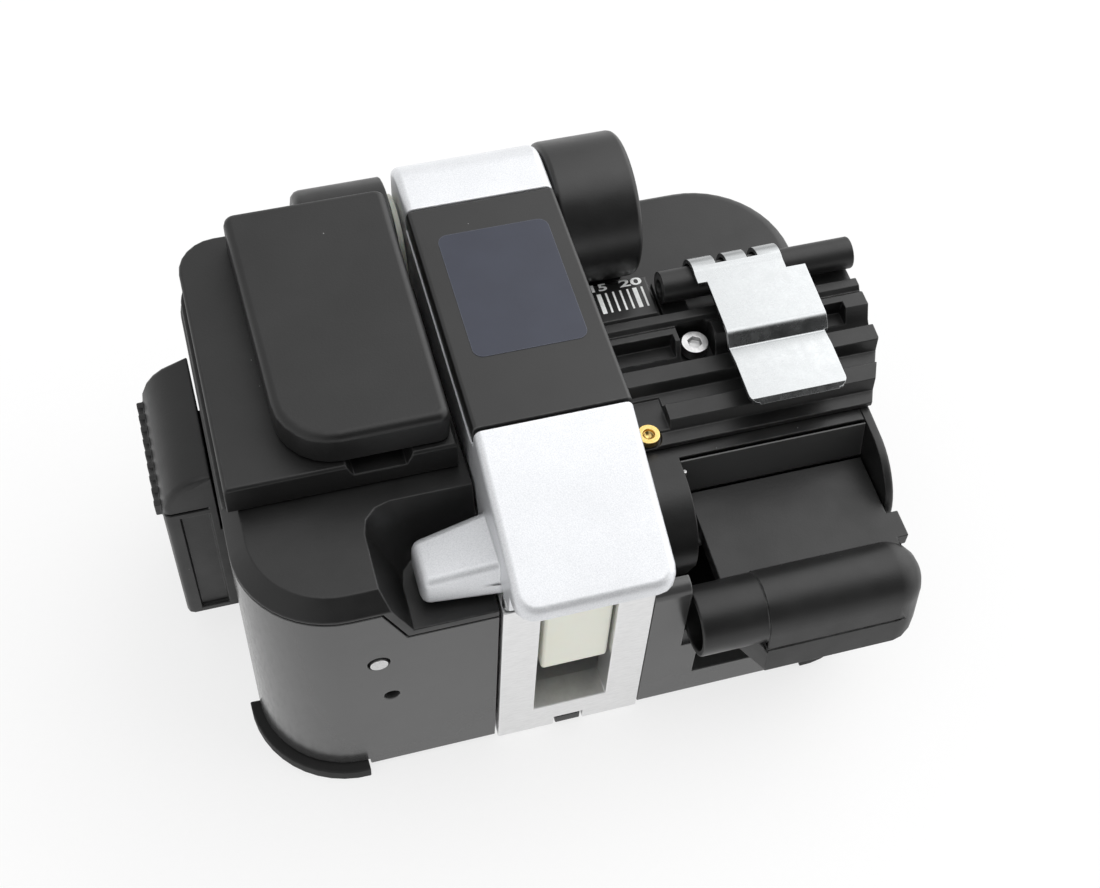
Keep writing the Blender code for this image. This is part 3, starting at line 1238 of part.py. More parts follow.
def make_lever():
    """The press lever: a flat panel on a pin, a round bar across its front and a skirt below."""
    panel_top = LEVER_PIN_Z + LEVER_PANEL_RISE
    panel_low = (LEVER_LEFT, BAR_Y, panel_top - LEVER_PANEL_THICK)
    panel = box("press_lever", panel_low, (LEVER_RIGHT, LEVER_PANEL_BACK, panel_top))
    part(panel, MATTE_BLACK, LEVER)
    # In front of the right ear the panel spreads to the housing's full width.
    wing_low = (LEVER_RIGHT - OVER, BAR_Y + BAR_END_R, panel_low[2])
    join(panel, box("panel_wing", wing_low, (RIGHT_X, EAR_FRONT - SWING, panel_top)))
    join(panel, rod("lever_hub", LEVER_HUB_R, LEVER_LEFT, LEVER_RIGHT, "X", LEVER_PIN))
    toe = BAR_Y - SKIRT_OUT
    centre = (BAR_Y, BAR_Z)
    outline = arc(centre, BAR_R, 20, 180, 2 * ARC_STEPS)
    outline += [(toe, SKIRT_LOW), (toe + SKIRT_TOE, SKIRT_LOW), (BAR_Y + BAR_R / 2, BAR_Z - SKIRT_BACK_DROP)]
    bar = prism("lever_bar", [outline], BAR_LEFT, RIGHT_X, "X")
    soften(bar, BAR_END_R, 5, lambda m, d: m.x > RIGHT_X - GAP)
    # The skirt's left end runs back to the left, under the tube.
    cheek_back = FRONT_Y - GAP
    cheek = [(BAR_LEFT, toe + GAP), (BAR_LEFT + OVER, cheek_back), (BAR_LEFT - SKIRT_CHEEK, cheek_back)]
    join(bar, prism("skirt_cheek", [cheek], SKIRT_LOW, BAR_Z - BAR_R / 2, "Z"))
    seam = SKIRT_LOW + BAR_SEAM
    lean = (BAR_Y - BAR_R - toe) / (BAR_Z - SKIRT_LOW)
    seam_back = toe + BAR_SEAM * lean + BAR_SEAM_DEPTH
    seam_high = (2 * RIGHT_X, seam_back, seam + BAR_SEAM_DEPTH)
    cut(bar, box("skirt_seam", (BAR_LEFT - OVER, toe - BAR_R, seam), seam_high))
    join(panel, bar)
    join(panel, rod("lever_tube", TUBE_R, TUBE_LEFT, BAR_LEFT + OVER, "X", centre))
    cut(panel, rod("tube_bore", TUBE_BORE_R, TUBE_LEFT - OVER, TUBE_LEFT + TUBE_BORE_DEPTH, "X", centre))
    cut(panel, rod("lever_bore", LEVER_PIN_R + PLAY, 0, 2 * RIGHT_X, "X", LEVER_PIN, 20))

    pin_right = RIGHT_X - RIGHT_EAR_WIDTH / 2 - GAP
    part(rod("lever_pin", LEVER_PIN_R, RDECK_SIDE + GAP, pin_right, "X", LEVER_PIN, 20), STEEL, ROOT)
    leg_x = (LEFT_EAR_RIGHT + LEVER_LEFT) / 2
    start = leg_x - LEVER_SPRING_TURNS * LEVER_SPRING_PITCH
    coil = helix(start, LEVER_PIN, LEVER_SPRING_R, LEVER_SPRING_TURNS, LEVER_SPRING_PITCH)
    coil.append((leg_x, LEVER_PIN_Y + LEVER_SPRING_R, LEVER_PIN_Z + LEVER_SPRING_LEG))
    part(wire("lever_spring", coil, LEVER_SPRING_WIRE_R), STEEL, ROOT)
    turn_gap = LEVER_SPRING_PITCH - 2 * LEVER_SPRING_WIRE_R
    print("lever spring: least gap between turns", round(turn_gap * 1000, 3), "mm")


def adapter_outline():
    """The adapter from its end: a flat front, drafted ribs, a sloped seat and a groove for the fibre."""
    front = FIBRE_Y - ADAPTER_AHEAD
    back = FIBRE_Y + ADAPTER_BEHIND
    floor = ADAPTER_LOW + ADAPTER_FLOOR
    top = ADAPTER_LOW + ADAPTER_TOP
    outline = [(front, ADAPTER_LOW), (front, floor)]
    for i in range(RIB_COUNT):
        y = front + RIB_START + i * RIB_PITCH
        crest = floor + RIB_RISE
        outline += [(y, floor), (y + RIB_DRAFT, crest), (y + RIB_DRAFT + RIB_TOP, crest + RIB_TILT)]
        floor += RIB_CLIMB
        outline += [(y + 2 * RIB_DRAFT + RIB_TOP, floor)]
    seat = front + SEAT_START
    outline += [(seat, floor), (seat + RIB_DRAFT, ADAPTER_LOW + SEAT_STEP)]
    outline += [(FIBRE_Y - SEAT_SLOPE_END, top), (FIBRE_Y - SEAT_GROOVE, top)]
    outline += [(FIBRE_Y, top - SEAT_GROOVE), (FIBRE_Y + SEAT_GROOVE, top), (back, top), (back, ADAPTER_LOW)]
    return outline


def make_adapter():
    """The fibre adapter: ribs along the fibre, a ledge for the clip's barrel, a screw and an eyelet."""
    front = FIBRE_Y - ADAPTER_AHEAD
    back = FIBRE_Y + ADAPTER_BEHIND
    floor = ADAPTER_LOW + ADAPTER_FLOOR
    high = ADAPTER_LOW + ADAPTER_TOP + OVER
    adapter = prism("fibre_adapter", [adapter_outline()], ADAPTER_LEFT, ADAPTER_RIGHT, "X")
    part(adapter, MATTE_BLACK, ROOT)
    ledge_top = CLIP_BARREL_Z - CLIP_BARREL_R - GAP
    ledge_high = (ADAPTER_RIGHT, FIBRE_Y + LEDGE_BACK, ledge_top)
    join(adapter, box("barrel_ledge", (LEDGE_LEFT, back - GAP, ADAPTER_LOW), ledge_high))
    slant = [
        (ADAPTER_RIGHT - ADAPTER_SLANT, front - OVER),
        (ADAPTER_RIGHT + OVER, front - OVER),
        (ADAPTER_RIGHT + OVER, front + ADAPTER_SLANT_DEPTH),
        (ADAPTER_RIGHT, front + ADAPTER_SLANT_DEPTH),
        (ADAPTER_RIGHT - ADAPTER_SLANT, front),
    ]
    cut(adapter, prism("end_slant", [slant], RDECK_TOP - OVER, high, "Z"))
    rib_low = (ADAPTER_LEFT - OVER, front + RIB_START - RIB_DRAFT, floor + GAP)
    cut(adapter, box("rib_end", rib_low, (RIB_LEFT, front + RIB_START + RIB_PITCH - RIB_DRAFT, high)))
    slot_front = front + SEAT_START + RIB_DRAFT
    slot_floor = ADAPTER_LOW + SEAT_SLOT_FLOOR
    slots = ((ADAPTER_LEFT - OVER, SEAT_SLOT_LEFT_END), (SEAT_SLOT_RIGHT, SEAT_SLOT_RIGHT_END))
    for left, right in slots:
        slot_low = (left, slot_front, slot_floor)
        cut(adapter, box("seat_slot", slot_low, (right, slot_front + SEAT_SLOT_DEPTH, high)))
    wrap = CLIP_BARREL_R + GAP + CLIP_SHEET + SWING
    cut(adapter, rod("clip_room", wrap, CLIP_TAB_LEFT - SWING, CLIP_RIGHT + SWING, "X", CLIP_BARREL))
    screw = (SCREW_X, FIBRE_Y - SCREW_AHEAD)
    seat = ADAPTER_LOW + SCREW_SEAT
    half = SCREW_POCKET_HALF
    pocket = rectangle(screw[0] - half, screw[1] - half, screw[0] + half, screw[1] + half, SCREW_POCKET_R)
    cut(adapter, prism("screw_pocket", [pocket], seat, high, "Z"))
    eyelet = (FRAME_HALF + EYELET_BESIDE, FIBRE_Y - EYELET_AHEAD)
    eyelet_seat = ADAPTER_LOW + EYELET_SEAT
    cut(adapter, rod("eyelet_bore", EYELET_R + GAP, eyelet_seat, high, "Z", eyelet, 24))

    head = rod("adapter_screw", SCREW_HEAD_R, seat + GAP, seat + GAP + SCREW_HEAD, "Z", screw, 28)
    part(head, STEEL, ROOT)
    cut(head, rod("hex_socket", SCREW_SOCKET_R, seat + GAP + SCREW_HEAD / 2, high, "Z", screw, 6))
    ring_low = eyelet_seat + GAP
    ring = rod("brass_eyelet", EYELET_R, ring_low, ring_low + EYELET_HEIGHT, "Z", eyelet, 24)
    part(ring, BRASS, ROOT)
    cut(ring, rod("eyelet_hole", EYELET_BORE_R, 0, high, "Z", eyelet, 20))

    bar = rod("clip_barrel", CLIP_BARREL_R, CLIP_BARREL_LEFT, CLIP_BARREL_RIGHT, "X", CLIP_BARREL)
    part(bar, MATTE_BLACK, ROOT)
    socket_end = CLIP_BARREL_LEFT + CLIP_SOCKET_DEPTH
    cut(bar, rod("barrel_socket", CLIP_SOCKET_R, CLIP_BARREL_LEFT - OVER, socket_end, "X", CLIP_BARREL, 20))
    scale_front = FIBRE_Y + SCALE_BEHIND
    scale_top = ADAPTER_LOW + SCALE_HEIGHT
    scale_low = (RDECK_SIDE + GAP, scale_front, ADAPTER_LOW)
    plate = box("scale_plate", scale_low, (SCALE_RIGHT, scale_front + SCALE_DEPTH, scale_top))
    soften(plate, SCALE_EDGE, 1, above(scale_top))
    part(plate, SATIN_BLACK, ROOT)


def make_clip():
    """The spring clip: a bent sheet that curls round its barrel and steps down to a front flap."""
    mean = CLIP_BARREL_R + GAP + CLIP_SHEET / 2
    top = CLIP_BARREL_Z + CLIP_TOP_RISE
    flap = top - CLIP_DROP
    front = CLIP_BARREL_Y - CLIP_FLAP_LENGTH
    fold = CLIP_BARREL_Y - CLIP_FOLD_AHEAD
    flap_back = fold - CLIP_FOLD_RUN
    bends = [
        (front, flap - CLIP_LIP),
        (front + CLIP_LIP, flap),
        (flap_back - CLIP_CREASE, flap + CLIP_CREASE_RISE),
        (flap_back, flap, CLIP_HEEL_R),
        (fold, top, CLIP_FOLD_R),
    ]
    path = rounded(bends + arc(CLIP_BARREL, mean, 115, -25, 2 * ARC_STEPS))
    clip = prism("spring_clip", [strip(path, CLIP_SHEET)], CLIP_TAB_LEFT, CLIP_RIGHT, "X")
    part(clip, BRIGHT_STEEL, CLIP)
    low = CLIP_BARREL_Z - 2 * CLIP_BARREL_R
    high = CLIP_BARREL_Z + 3 * CLIP_BARREL_R
    behind = CLIP_BARREL_Y + 3 * CLIP_BARREL_R
    ahead = front - OVER
    shoulder = CLIP_BARREL_Y - CLIP_TAB_DEPTH
    left_out = CLIP_TAB_LEFT - OVER
    right_out = CLIP_RIGHT + OVER
    cut(clip, box("left_trim", (left_out, ahead, low), (CLIP_LEFT, shoulder, high)))
    cut(clip, box("right_trim", (CLIP_TAB_RIGHT, shoulder, low), (right_out, behind, high)))
    cut(clip, box("flap_trim", (CLIP_FLAP_RIGHT, ahead, low), (right_out, flap_back, high)))
    for x in (CLIP_NOTCH_LEFT, CLIP_NOTCH_RIGHT):
        cut(clip, box("clip_notch", (x, CLIP_BARREL_Y, low), (x + CLIP_NOTCH_WIDTH, behind, high)))
    r = CLIP_CORNER_R
    for x, inward, start in ((CLIP_LEFT, 1, 180), (CLIP_FLAP_RIGHT, -1, 360)):
        middle = x + inward * r
        outside = x - inward * OVER
        outline = arc((middle, front + r), r, start, 270)
        outline += [(middle, ahead), (outside, ahead), (outside, front + r)]
        cut(clip, prism("flap_corner", [outline], low, high, "Z"))


def make_latch():
    place = (LATCH_INSET - FRAME_HALF, LATCH_Y)
    low = FRAME_TOP + GAP
    pin = rod("latch_pin", LATCH_R, low, low + LATCH_HEIGHT, "Z", place, 20)
    soften(pin, LATCH_R / 3, 2, above(low + LATCH_HEIGHT))
    part(pin, BRIGHT_STEEL, ROOT)


def stand_on_origin():
    """Moves the assembly so that the origin is under the middle of its bounding box."""
    bpy.context.view_layer.update()
    graph = bpy.context.evaluated_depsgraph_get()
    corners = []
    for obj in PARTS.objects:
        if obj.type == "MESH":
            shown = obj.evaluated_get(graph)
            corners += [shown.matrix_world @ v.co for v in shown.data.vertices]
    low = [min(c[i] for c in corners) for i in range(3)]
    high = [max(c[i] for c in corners) for i in range(3)]
    ROOT.location = (-(low[0] + high[0]) / 2, -(low[1] + high[1]) / 2, -low[2])
    bpy.context.view_layer.update()
    print("datum moved by", [round(1000 * x, 4) for x in ROOT.location], "mm")


def build():
    pockets = make_feet()
    make_base_plate(pockets)
    make_chassis()
    make_housings(pockets)
    make_left_deck()
    make_cover()
    make_rollers()
    make_bin()
    make_arm()
    make_hinge()
    make_carriage()
    make_right_deck()
    make_lever()
    make_adapter()
    make_clip()
    make_latch()
    stand_on_origin()


build()
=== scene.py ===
"""Looks for the fibre cleaver: finer-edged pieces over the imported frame, finishes, camera and light.

Lengths are metres, or millimetres where a comment says so. The helper at(x, y, z) takes millimetres from the
blade plane (x = 0), the chassis frame's front face (y = 0) and the floor (z = 0), and gives a point in the
frame's own space.
"""

import json
import math

import bmesh
import bpy
from mathutils import Matrix, Vector


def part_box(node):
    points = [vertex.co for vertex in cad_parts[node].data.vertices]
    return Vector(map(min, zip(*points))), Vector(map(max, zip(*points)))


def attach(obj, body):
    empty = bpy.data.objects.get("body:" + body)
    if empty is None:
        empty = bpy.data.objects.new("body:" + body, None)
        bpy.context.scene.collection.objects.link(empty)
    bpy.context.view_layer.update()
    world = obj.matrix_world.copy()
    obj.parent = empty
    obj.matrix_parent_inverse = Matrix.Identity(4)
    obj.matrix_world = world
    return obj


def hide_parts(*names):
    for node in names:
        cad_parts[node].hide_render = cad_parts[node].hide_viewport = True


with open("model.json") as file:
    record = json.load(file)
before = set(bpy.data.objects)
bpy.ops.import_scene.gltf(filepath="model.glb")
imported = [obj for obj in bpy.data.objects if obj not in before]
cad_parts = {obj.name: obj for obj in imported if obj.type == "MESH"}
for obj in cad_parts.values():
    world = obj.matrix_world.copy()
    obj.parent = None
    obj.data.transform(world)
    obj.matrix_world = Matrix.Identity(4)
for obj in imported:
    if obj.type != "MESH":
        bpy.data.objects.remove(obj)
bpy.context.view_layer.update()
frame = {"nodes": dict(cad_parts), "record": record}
scene = bpy.context.scene
body_of_node = {n: b for b, names in frame["record"]["behaviour"]["bodies"].items() for n in names}
slot_of_node = {p["node"]: p["material_slot"] for p in frame["record"]["subparts"]}

MM_PER_M = 1000
MICRON = 1e-6

chassis_low, chassis_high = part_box("chassis_frame")
ZERO = Vector(((chassis_low.x + chassis_high.x) / 2, chassis_low.y, 0))


def at(x, y, z):
    """A point in millimetres from the blade plane, the frame's front face and the floor."""
    return ZERO + Vector((x, y, z)) / MM_PER_M


# Materials. Noise scales are per metre, so a scale of 1000 has features about a millimetre across.

# Most of a noise's values lie between these two.
NOISE_SPAN = (0.3, 0.7)
# Cosines of the turn at which an edge starts to be painted paler, partly as wear and partly as a painted
# highlight, and is painted fully
EDGE_SPAN = (0.995, 0.90)
DUST_SCALE = 250.0
DUST_SPAN = (0.010, 0.016)
WHITE = (1, 1, 1, 1)
RANGE_SOCKETS = ("From Min", "From Max", "To Min", "To Max")


def grey(value):
    return (value, value, value)


class Finish:
    """A material being put together: a Principled shader, and small helpers that add nodes to it."""

    def __init__(self, name):
        self.material = bpy.data.materials.new(name)
        self.material.use_nodes = True
        self.tree = self.material.node_tree
        self.tree.nodes.clear()
        self.out = self.tree.nodes.new("ShaderNodeOutputMaterial")
        self.shader = self.tree.nodes.new("ShaderNodeBsdfPrincipled")
        self.tree.links.new(self.shader.outputs["BSDF"], self.out.inputs["Surface"])
        self.coords = self.tree.nodes.new("ShaderNodeTexCoord").outputs["Object"]

    def node(self, kind, **inputs):
        made = self.tree.nodes.new(kind)
        for key, value in inputs.items():
            self.feed(made.inputs[key.replace("_", " ")], value)
        return made

    def feed(self, socket, value):
        if isinstance(value, bpy.types.NodeSocket):
            self.tree.links.new(value, socket)
        else:
            socket.default_value = value

    def set(self, **inputs):
        for key, value in inputs.items():
            self.feed(self.shader.inputs[key.replace("_", " ")], value)

    def noise(self, scale, detail, rough=0.55, vector=None):
        made = self.node("ShaderNodeTexNoise", Vector=vector or self.coords, Scale=scale, Detail=detail)
        made.inputs["Roughness"].default_value = rough
        return made.outputs["Fac"]

    def lines(self, scales, detail):
        """A noise with its own scale along each axis, which makes streaks along the smallest of them."""
        stretched = self.node("ShaderNodeMapping", Vector=self.coords, Scale=scales)
        return self.noise(1.0, detail, 0.6, stretched.outputs["Vector"])

    def ramp(self, value, first, last, span=NOISE_SPAN):
        """A colour that runs from first to last over a span of the value."""
        made = self.node("ShaderNodeValToRGB", Fac=value)
        for element, position, colour in zip(made.color_ramp.elements, span, (first, last)):
            element.position = position
            element.color = (*colour, 1)
        return made.outputs["Color"]

    def spread(self, value, first, last, span=NOISE_SPAN):
        """A number that runs from first to last over a span of the value."""
        made = self.node("ShaderNodeMapRange", Value=value)
        for key, number in zip(RANGE_SOCKETS, (*span, first, last)):
            made.inputs[key].default_value = number
        return made.outputs["Result"]

    def bump(self, height, depth, strength, under=None):
        made = self.node("ShaderNodeBump", Height=height, Distance=depth, Strength=strength)
        if under is not None:
            self.feed(made.inputs["Normal"], under)
        return made.outputs["Normal"]

    def edges(self, radius):
        """White along edges sharper than the radius, black on the faces between them."""
        soft = self.tree.nodes.new("ShaderNodeBevel")
        soft.samples = 4
        soft.inputs["Radius"].default_value = radius
        plain = self.tree.nodes.new("ShaderNodeNewGeometry")
        turn = self.tree.nodes.new("ShaderNodeVectorMath")
        turn.operation = "DOT_PRODUCT"
        self.feed(turn.inputs[0], soft.outputs["Normal"])
        self.feed(turn.inputs[1], plain.outputs["Normal"])
        return self.spread(turn.outputs["Value"], 0.0, 1.0, EDGE_SPAN)

    def dust(self):
        """Sparse specks of dust, under a tenth of a millimetre across."""
        made = self.node("ShaderNodeTexVoronoi", Vector=self.coords, Scale=DUST_SCALE)
        return self.spread(made.outputs["Distance"], 1.0, 0.0, DUST_SPAN)

    def over(self, lower, upper, amount, blend="MIX"):
        made = self.tree.nodes.new("ShaderNodeMix")
        made.data_type = "RGBA"
        made.blend_type = blend
        self.feed(made.inputs[0], amount)
        for socket, value in ((made.inputs[6], lower), (made.inputs[7], upper)):
            self.feed(socket, value if isinstance(value, bpy.types.NodeSocket) else (*value, 1))
        return made.outputs[2]

    def product(self, a, b):
        made = self.tree.nodes.new("ShaderNodeMath")
        made.operation = "MULTIPLY"
        self.feed(made.inputs[0], a)
        self.feed(made.inputs[1], b)
        return made.outputs[0]


def moulded(name, dark, pale, edge_wear_and_highlight, rough, grain, depth, specular=0.5):
    """Moulded plastic: blotchy colour, an eroded grain, and edges painted paler in patches, partly as rubbed
    wear and partly as a painted highlight.
    """
    f = Finish(name)
    colour = f.ramp(f.noise(90, detail=4), dark, pale, span=(0.35, 0.68))
    patches = f.spread(f.noise(700, detail=4), 0.15, 1.0, span=(0.42, 0.62))
    # Paler edges in patches: partly rubbed wear, partly a painted highlight along the edges.
    rubbed_and_lit_edges = f.product(f.edges(350 * MICRON), patches)
    f.set(Base_Color=f.over(f.over(colour, edge_wear_and_highlight, rubbed_and_lit_edges), grey(0.55), f.dust()))
    f.set(Roughness=f.spread(f.noise(260, detail=5), rough - 0.05, rough + 0.06))
    f.set(Specular_IOR_Level=specular)
    f.set(Normal=f.bump(f.noise(grain, detail=2, rough=0.6), depth, strength=0.35))
    return f.material


def gloss(name, dark, pale, edge_wear_and_highlight):
    """Polished moulding: a slow waviness, faint wipe marks, and edges painted paler, partly as wear and
    partly as a painted highlight.
    """
    f = Finish(name)
    wave = f.noise(140, detail=2, rough=0.4)
    wipes = f.lines((350, 2200, 500), detail=4)
    colour = f.ramp(f.noise(70, detail=3), dark, pale)
    # Paler edges all along: partly wear, partly a painted highlight.
    f.set(Base_Color=f.over(colour, edge_wear_and_highlight, f.edges(300 * MICRON)))
    f.set(Roughness=f.spread(wipes, 0.17, 0.27, span=(0.35, 0.7)))
    f.set(IOR=1.58)
    tooth = f.bump(f.noise(3500, detail=2), 10 * MICRON, strength=0.12)
    f.set(Normal=f.bump(wave, 60 * MICRON, strength=0.15, under=tooth))
    return f.material


def flake_paint(name, dark, pale, edge_wear_and_highlight):
    """Silver paint on a casting: fine bright flakes, a slight orange peel, and edges painted paler, partly
    as rubbed wear and partly as a painted highlight.
    """
    f = Finish(name)
    flakes = f.noise(6500, detail=2, rough=0.7)
    colour = f.ramp(flakes, dark, pale, span=(0.28, 0.75))
    broad = f.ramp(f.noise(110, detail=3), grey(0.93), grey(1.0))
    mixed = f.over(colour, broad, 1.0, blend="MULTIPLY")
    # Paler edges all along: partly rubbed wear, partly a painted highlight.
    f.set(Base_Color=f.over(mixed, edge_wear_and_highlight, f.product(f.edges(400 * MICRON), 0.6)))
    f.set(Metallic=0.50, Roughness=f.spread(flakes, 0.36, 0.50))
    f.set(Coat_Weight=0.25, Coat_Roughness=0.22)
    peel = f.bump(f.noise(900, detail=2), 30 * MICRON, strength=0.12)
    f.set(Normal=f.bump(flakes, 30 * MICRON, strength=0.35, under=peel))
    return f.material


def machined(name, dark, pale, rough, lines, depth=10 * MICRON):
    """Machined or ground metal: fine tool lines along the stretched direction, and a painted highlight along
    the edges.
    """
    f = Finish(name)
    tool = f.lines(lines, detail=3)
    colour = f.ramp(tool, dark, pale, span=(0.28, 0.72))
    # A painted highlight: the edges painted brighter than the metal.
    painted_edge_highlight = tuple(min(1.0, c * 1.12) for c in pale)
    f.set(Base_Color=f.over(colour, painted_edge_highlight, f.product(f.edges(300 * MICRON), 0.7)))
    f.set(Metallic=1.0)
    f.set(Roughness=f.spread(f.noise(600, detail=4), rough - 0.04, rough + 0.06))
    f.set(Normal=f.bump(tool, depth, strength=0.4))
    return f.material


def ivory_plastic(name, dark, pale, edge_wear_and_highlight):
    """Ivory plastic, slightly see-through, with faint upright marks from milling."""
    f = Finish(name)
    colour = f.ramp(f.noise(180, detail=4), dark, pale)
    # Edges painted in the edge colour: partly wear, partly a painted highlight.
    f.set(Base_Color=f.over(colour, edge_wear_and_highlight, f.product(f.edges(300 * MICRON), 0.6)))
    f.set(Roughness=f.spread(f.noise(400, detail=4), 0.38, 0.50))
    f.set(Subsurface_Weight=0.12, Subsurface_Scale=0.001)
    f.set(Normal=f.bump(f.lines((5000, 5000, 600), detail=3), 10 * MICRON, strength=0.3))
    return f.material


def film(name, dark, pale, edge_wear_and_highlight):
    """The bare label place: a satin film with a very fine tooth."""
    f = Finish(name)
    tooth = f.noise(5200, detail=2, rough=0.6)
    colour = f.ramp(f.noise(240, detail=4), dark, pale)
    # Edges painted paler: partly wear, partly a painted highlight.
    f.set(Base_Color=f.over(colour, edge_wear_and_highlight, f.product(f.edges(120 * MICRON), 0.8)))
    f.set(Roughness=f.spread(tooth, 0.33, 0.44))
    f.set(Normal=f.bump(tooth, 10 * MICRON, strength=0.25))
    return f.material


def print_ink(name, thin, full):
    """Pale printing ink, a little thinner in places."""
    f = Finish(name)
    cover = f.noise(2600, detail=3, rough=0.6)
    f.set(Base_Color=f.ramp(cover, thin, full, span=(0.25, 0.5)))
    f.set(Roughness=f.spread(cover, 0.45, 0.6))
    f.set(Normal=f.bump(cover, 4 * MICRON, strength=0.3))
    return f.material


FINISHES = {
    "gloss_shell": gloss("gloss_shell_finish", dark=grey(0.050), pale=grey(0.057), edge_wear_and_highlight=grey(0.12)),
    "matte_shell": moulded(
        "matte_shell_finish", dark=grey(0.009), pale=grey(0.013), edge_wear_and_highlight=grey(0.06),
        rough=0.40, grain=3200, depth=30 * MICRON, specular=0.45,
    ),
    "satin_black": moulded(
        "satin_black_finish", dark=grey(0.012), pale=grey(0.016), edge_wear_and_highlight=grey(0.07),
        rough=0.34, grain=4200, depth=20 * MICRON,
    ),
    "aluminium": machined(
        "aluminium_finish", dark=grey(0.74), pale=grey(0.83), rough=0.42, lines=(900, 900, 5200)
    ),
    "silver_paint": flake_paint(
        "silver_paint_finish", dark=(0.68, 0.695, 0.72), pale=(0.905, 0.915, 0.935), edge_wear_and_highlight=(0.96, 0.97, 0.985)
    ),
    "ivory": ivory_plastic(
        "ivory_finish", dark=(0.93, 0.935, 0.81), pale=(0.95, 0.955, 0.85), edge_wear_and_highlight=(0.93, 0.93, 0.84)
    ),
    "steel": machined("steel_finish", dark=grey(0.50), pale=grey(0.68), rough=0.30, lines=(4200, 700, 4200)),
    "bright_steel": machined(
        "bright_steel_finish", dark=(0.40, 0.412, 0.417), pale=(0.435, 0.446, 0.451),
        rough=0.25, lines=(2600, 5200, 5200), depth=4 * MICRON,
    ),
    "carbide": machined(
        "carbide_finish", dark=grey(0.30), pale=grey(0.44), rough=0.32, lines=(800, 3600, 3600)
    ),
    "brass": machined(
        "brass_finish", dark=(0.62, 0.43, 0.13), pale=(0.76, 0.56, 0.23), rough=0.24, lines=(3800, 3800, 900)
    ),
    "rubber": moulded(
        "rubber_finish", dark=grey(0.014), pale=grey(0.021), edge_wear_and_highlight=grey(0.04),
        rough=0.68, grain=2600, depth=40 * MICRON, specular=0.35,
    ),
}
LABEL = film("label_film", dark=(0.021, 0.025, 0.044), pale=(0.025, 0.030, 0.051), edge_wear_and_highlight=(0.15, 0.16, 0.20))
INK = print_ink("scale_ink", thin=(0.74, 0.76, 0.75), full=(0.90, 0.91, 0.90))


# Finer pieces that stand for the CAD nodes: welded, their edges eased, and shaded smooth between creases

# Width of each node's eased edges, in millimetres
EASED = {
    "left_housing": 0.15,
    "right_housing": 0.15,
    "left_deck": 0.16,
    "right_deck": 0.16,
    "deck_plate": 0.15,
    "roller_cover": 0.20,
    "press_lever": 0.20,
    "scrap_bin": 0.16,
    "base_plate": 0.15,
    "fibre_adapter": 0.12,
    "clip_barrel": 0.15,
    "arm_inlay": 0.12,
    "arm_casting": 0.20,
    "hinge_barrel": 0.25,
    "scale_plate": 0.10,
    "chassis_frame": 0.15,
    "drive_block": 0.15,
    "spring_clip": 0.06,
    "latch_pin": 0.08,
    "brass_eyelet": 0.08,
    "adapter_screw": 0.06,
    "wall_pin": 0.05,
    "hinge_washer": 0.08,
    "foot_front_left": 0.20,
    "foot_front_right": 0.20,
    "foot_rear_left": 0.20,
    "foot_rear_right": 0.20,
    "clamp_holder": 0.15,
}
EASE_STEPS = 2
CREASE = math.radians(33)
FLAT = math.radians(0.6)
WELD = 2 * MICRON


def link(obj):
    scene.collection.objects.link(obj)
    return obj


def fit(obj, body, material):
    """Gives a new piece its finish and its body."""
    obj.data.materials.clear()
    obj.data.materials.append(material)
    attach(obj, body)


def finer(node, ease):
    """A copy of a CAD node with flat faces merged and edges eased, which stands in the node's place."""
    bm = bmesh.new()
    bm.from_mesh(frame["nodes"][node].data)
    bmesh.ops.remove_doubles(bm, verts=bm.verts, dist=WELD)
    bmesh.ops.dissolve_limit(bm, angle_limit=FLAT, verts=bm.verts, edges=bm.edges)
    mesh = bpy.data.meshes.new(node + "_eased")
    bm.to_mesh(mesh)
    bm.free()
    if "custom_normal" in mesh.attributes:
        mesh.attributes.remove(mesh.attributes["custom_normal"])
    mesh.shade_smooth()
    piece = link(bpy.data.objects.new(node + "_eased", mesh))
    bevel = piece.modifiers.new("eased edges", "BEVEL")
    bevel.width = ease / MM_PER_M
    bevel.segments = EASE_STEPS
    bevel.limit_method = "ANGLE"
    bevel.angle_limit = CREASE
    bevel.use_clamp_overlap = False
    bevel.harden_normals = False
    even = piece.modifiers.new("even shading", "WEIGHTED_NORMAL")
    even.keep_sharp = True
    slot = slot_of_node[node]
    fit(piece, body_of_node[node], FINISHES[slot])
    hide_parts(node)


for node_name, node_object in frame["nodes"].items():
    if node_name in EASED:
        finer(node_name, EASED[node_name])
    else:
        node_object.data.materials.clear()
        node_object.data.materials.append(FINISHES[slot_of_node[node_name]])


# Small pieces that the CAD leaves out. Their numbers are millimetres, as in at().


def closed_piece(bm, name):
    """Turns a closed shape's faces outwards and makes an object of it."""
    bmesh.ops.recalc_face_normals(bm, faces=bm.faces)
    mesh = bpy.data.meshes.new(name)
    bm.to_mesh(mesh)
    bm.free()
    return link(bpy.data.objects.new(name, mesh))


def bridge(bm, first, last):
    """Two end faces with the given corners, and the sides between them."""
    near = [bm.verts.new(point) for point in first]
    far = [bm.verts.new(point) for point in last]
    bm.faces.new(near)
    bm.faces.new(far[::-1])
    for i in range(len(near)):
        bm.faces.new((near[i - 1], far[i - 1], far[i], near[i]))


def solid(name, outlines, low, high):
    """Closed flat shapes between two heights, from (x, y) outlines."""
    bm = bmesh.new()
    for outline in outlines:
        bridge(bm, [at(x, y, high) for x, y in outline], [at(x, y, low) for x, y in outline])
    return closed_piece(bm, name)


def across(name, profile, left, right):
    """A closed bar from left to right, from a (y, z) outline."""
    bm = bmesh.new()
    bridge(bm, [at(left, y, z) for y, z in profile], [at(right, y, z) for y, z in profile])
    return closed_piece(bm, name)


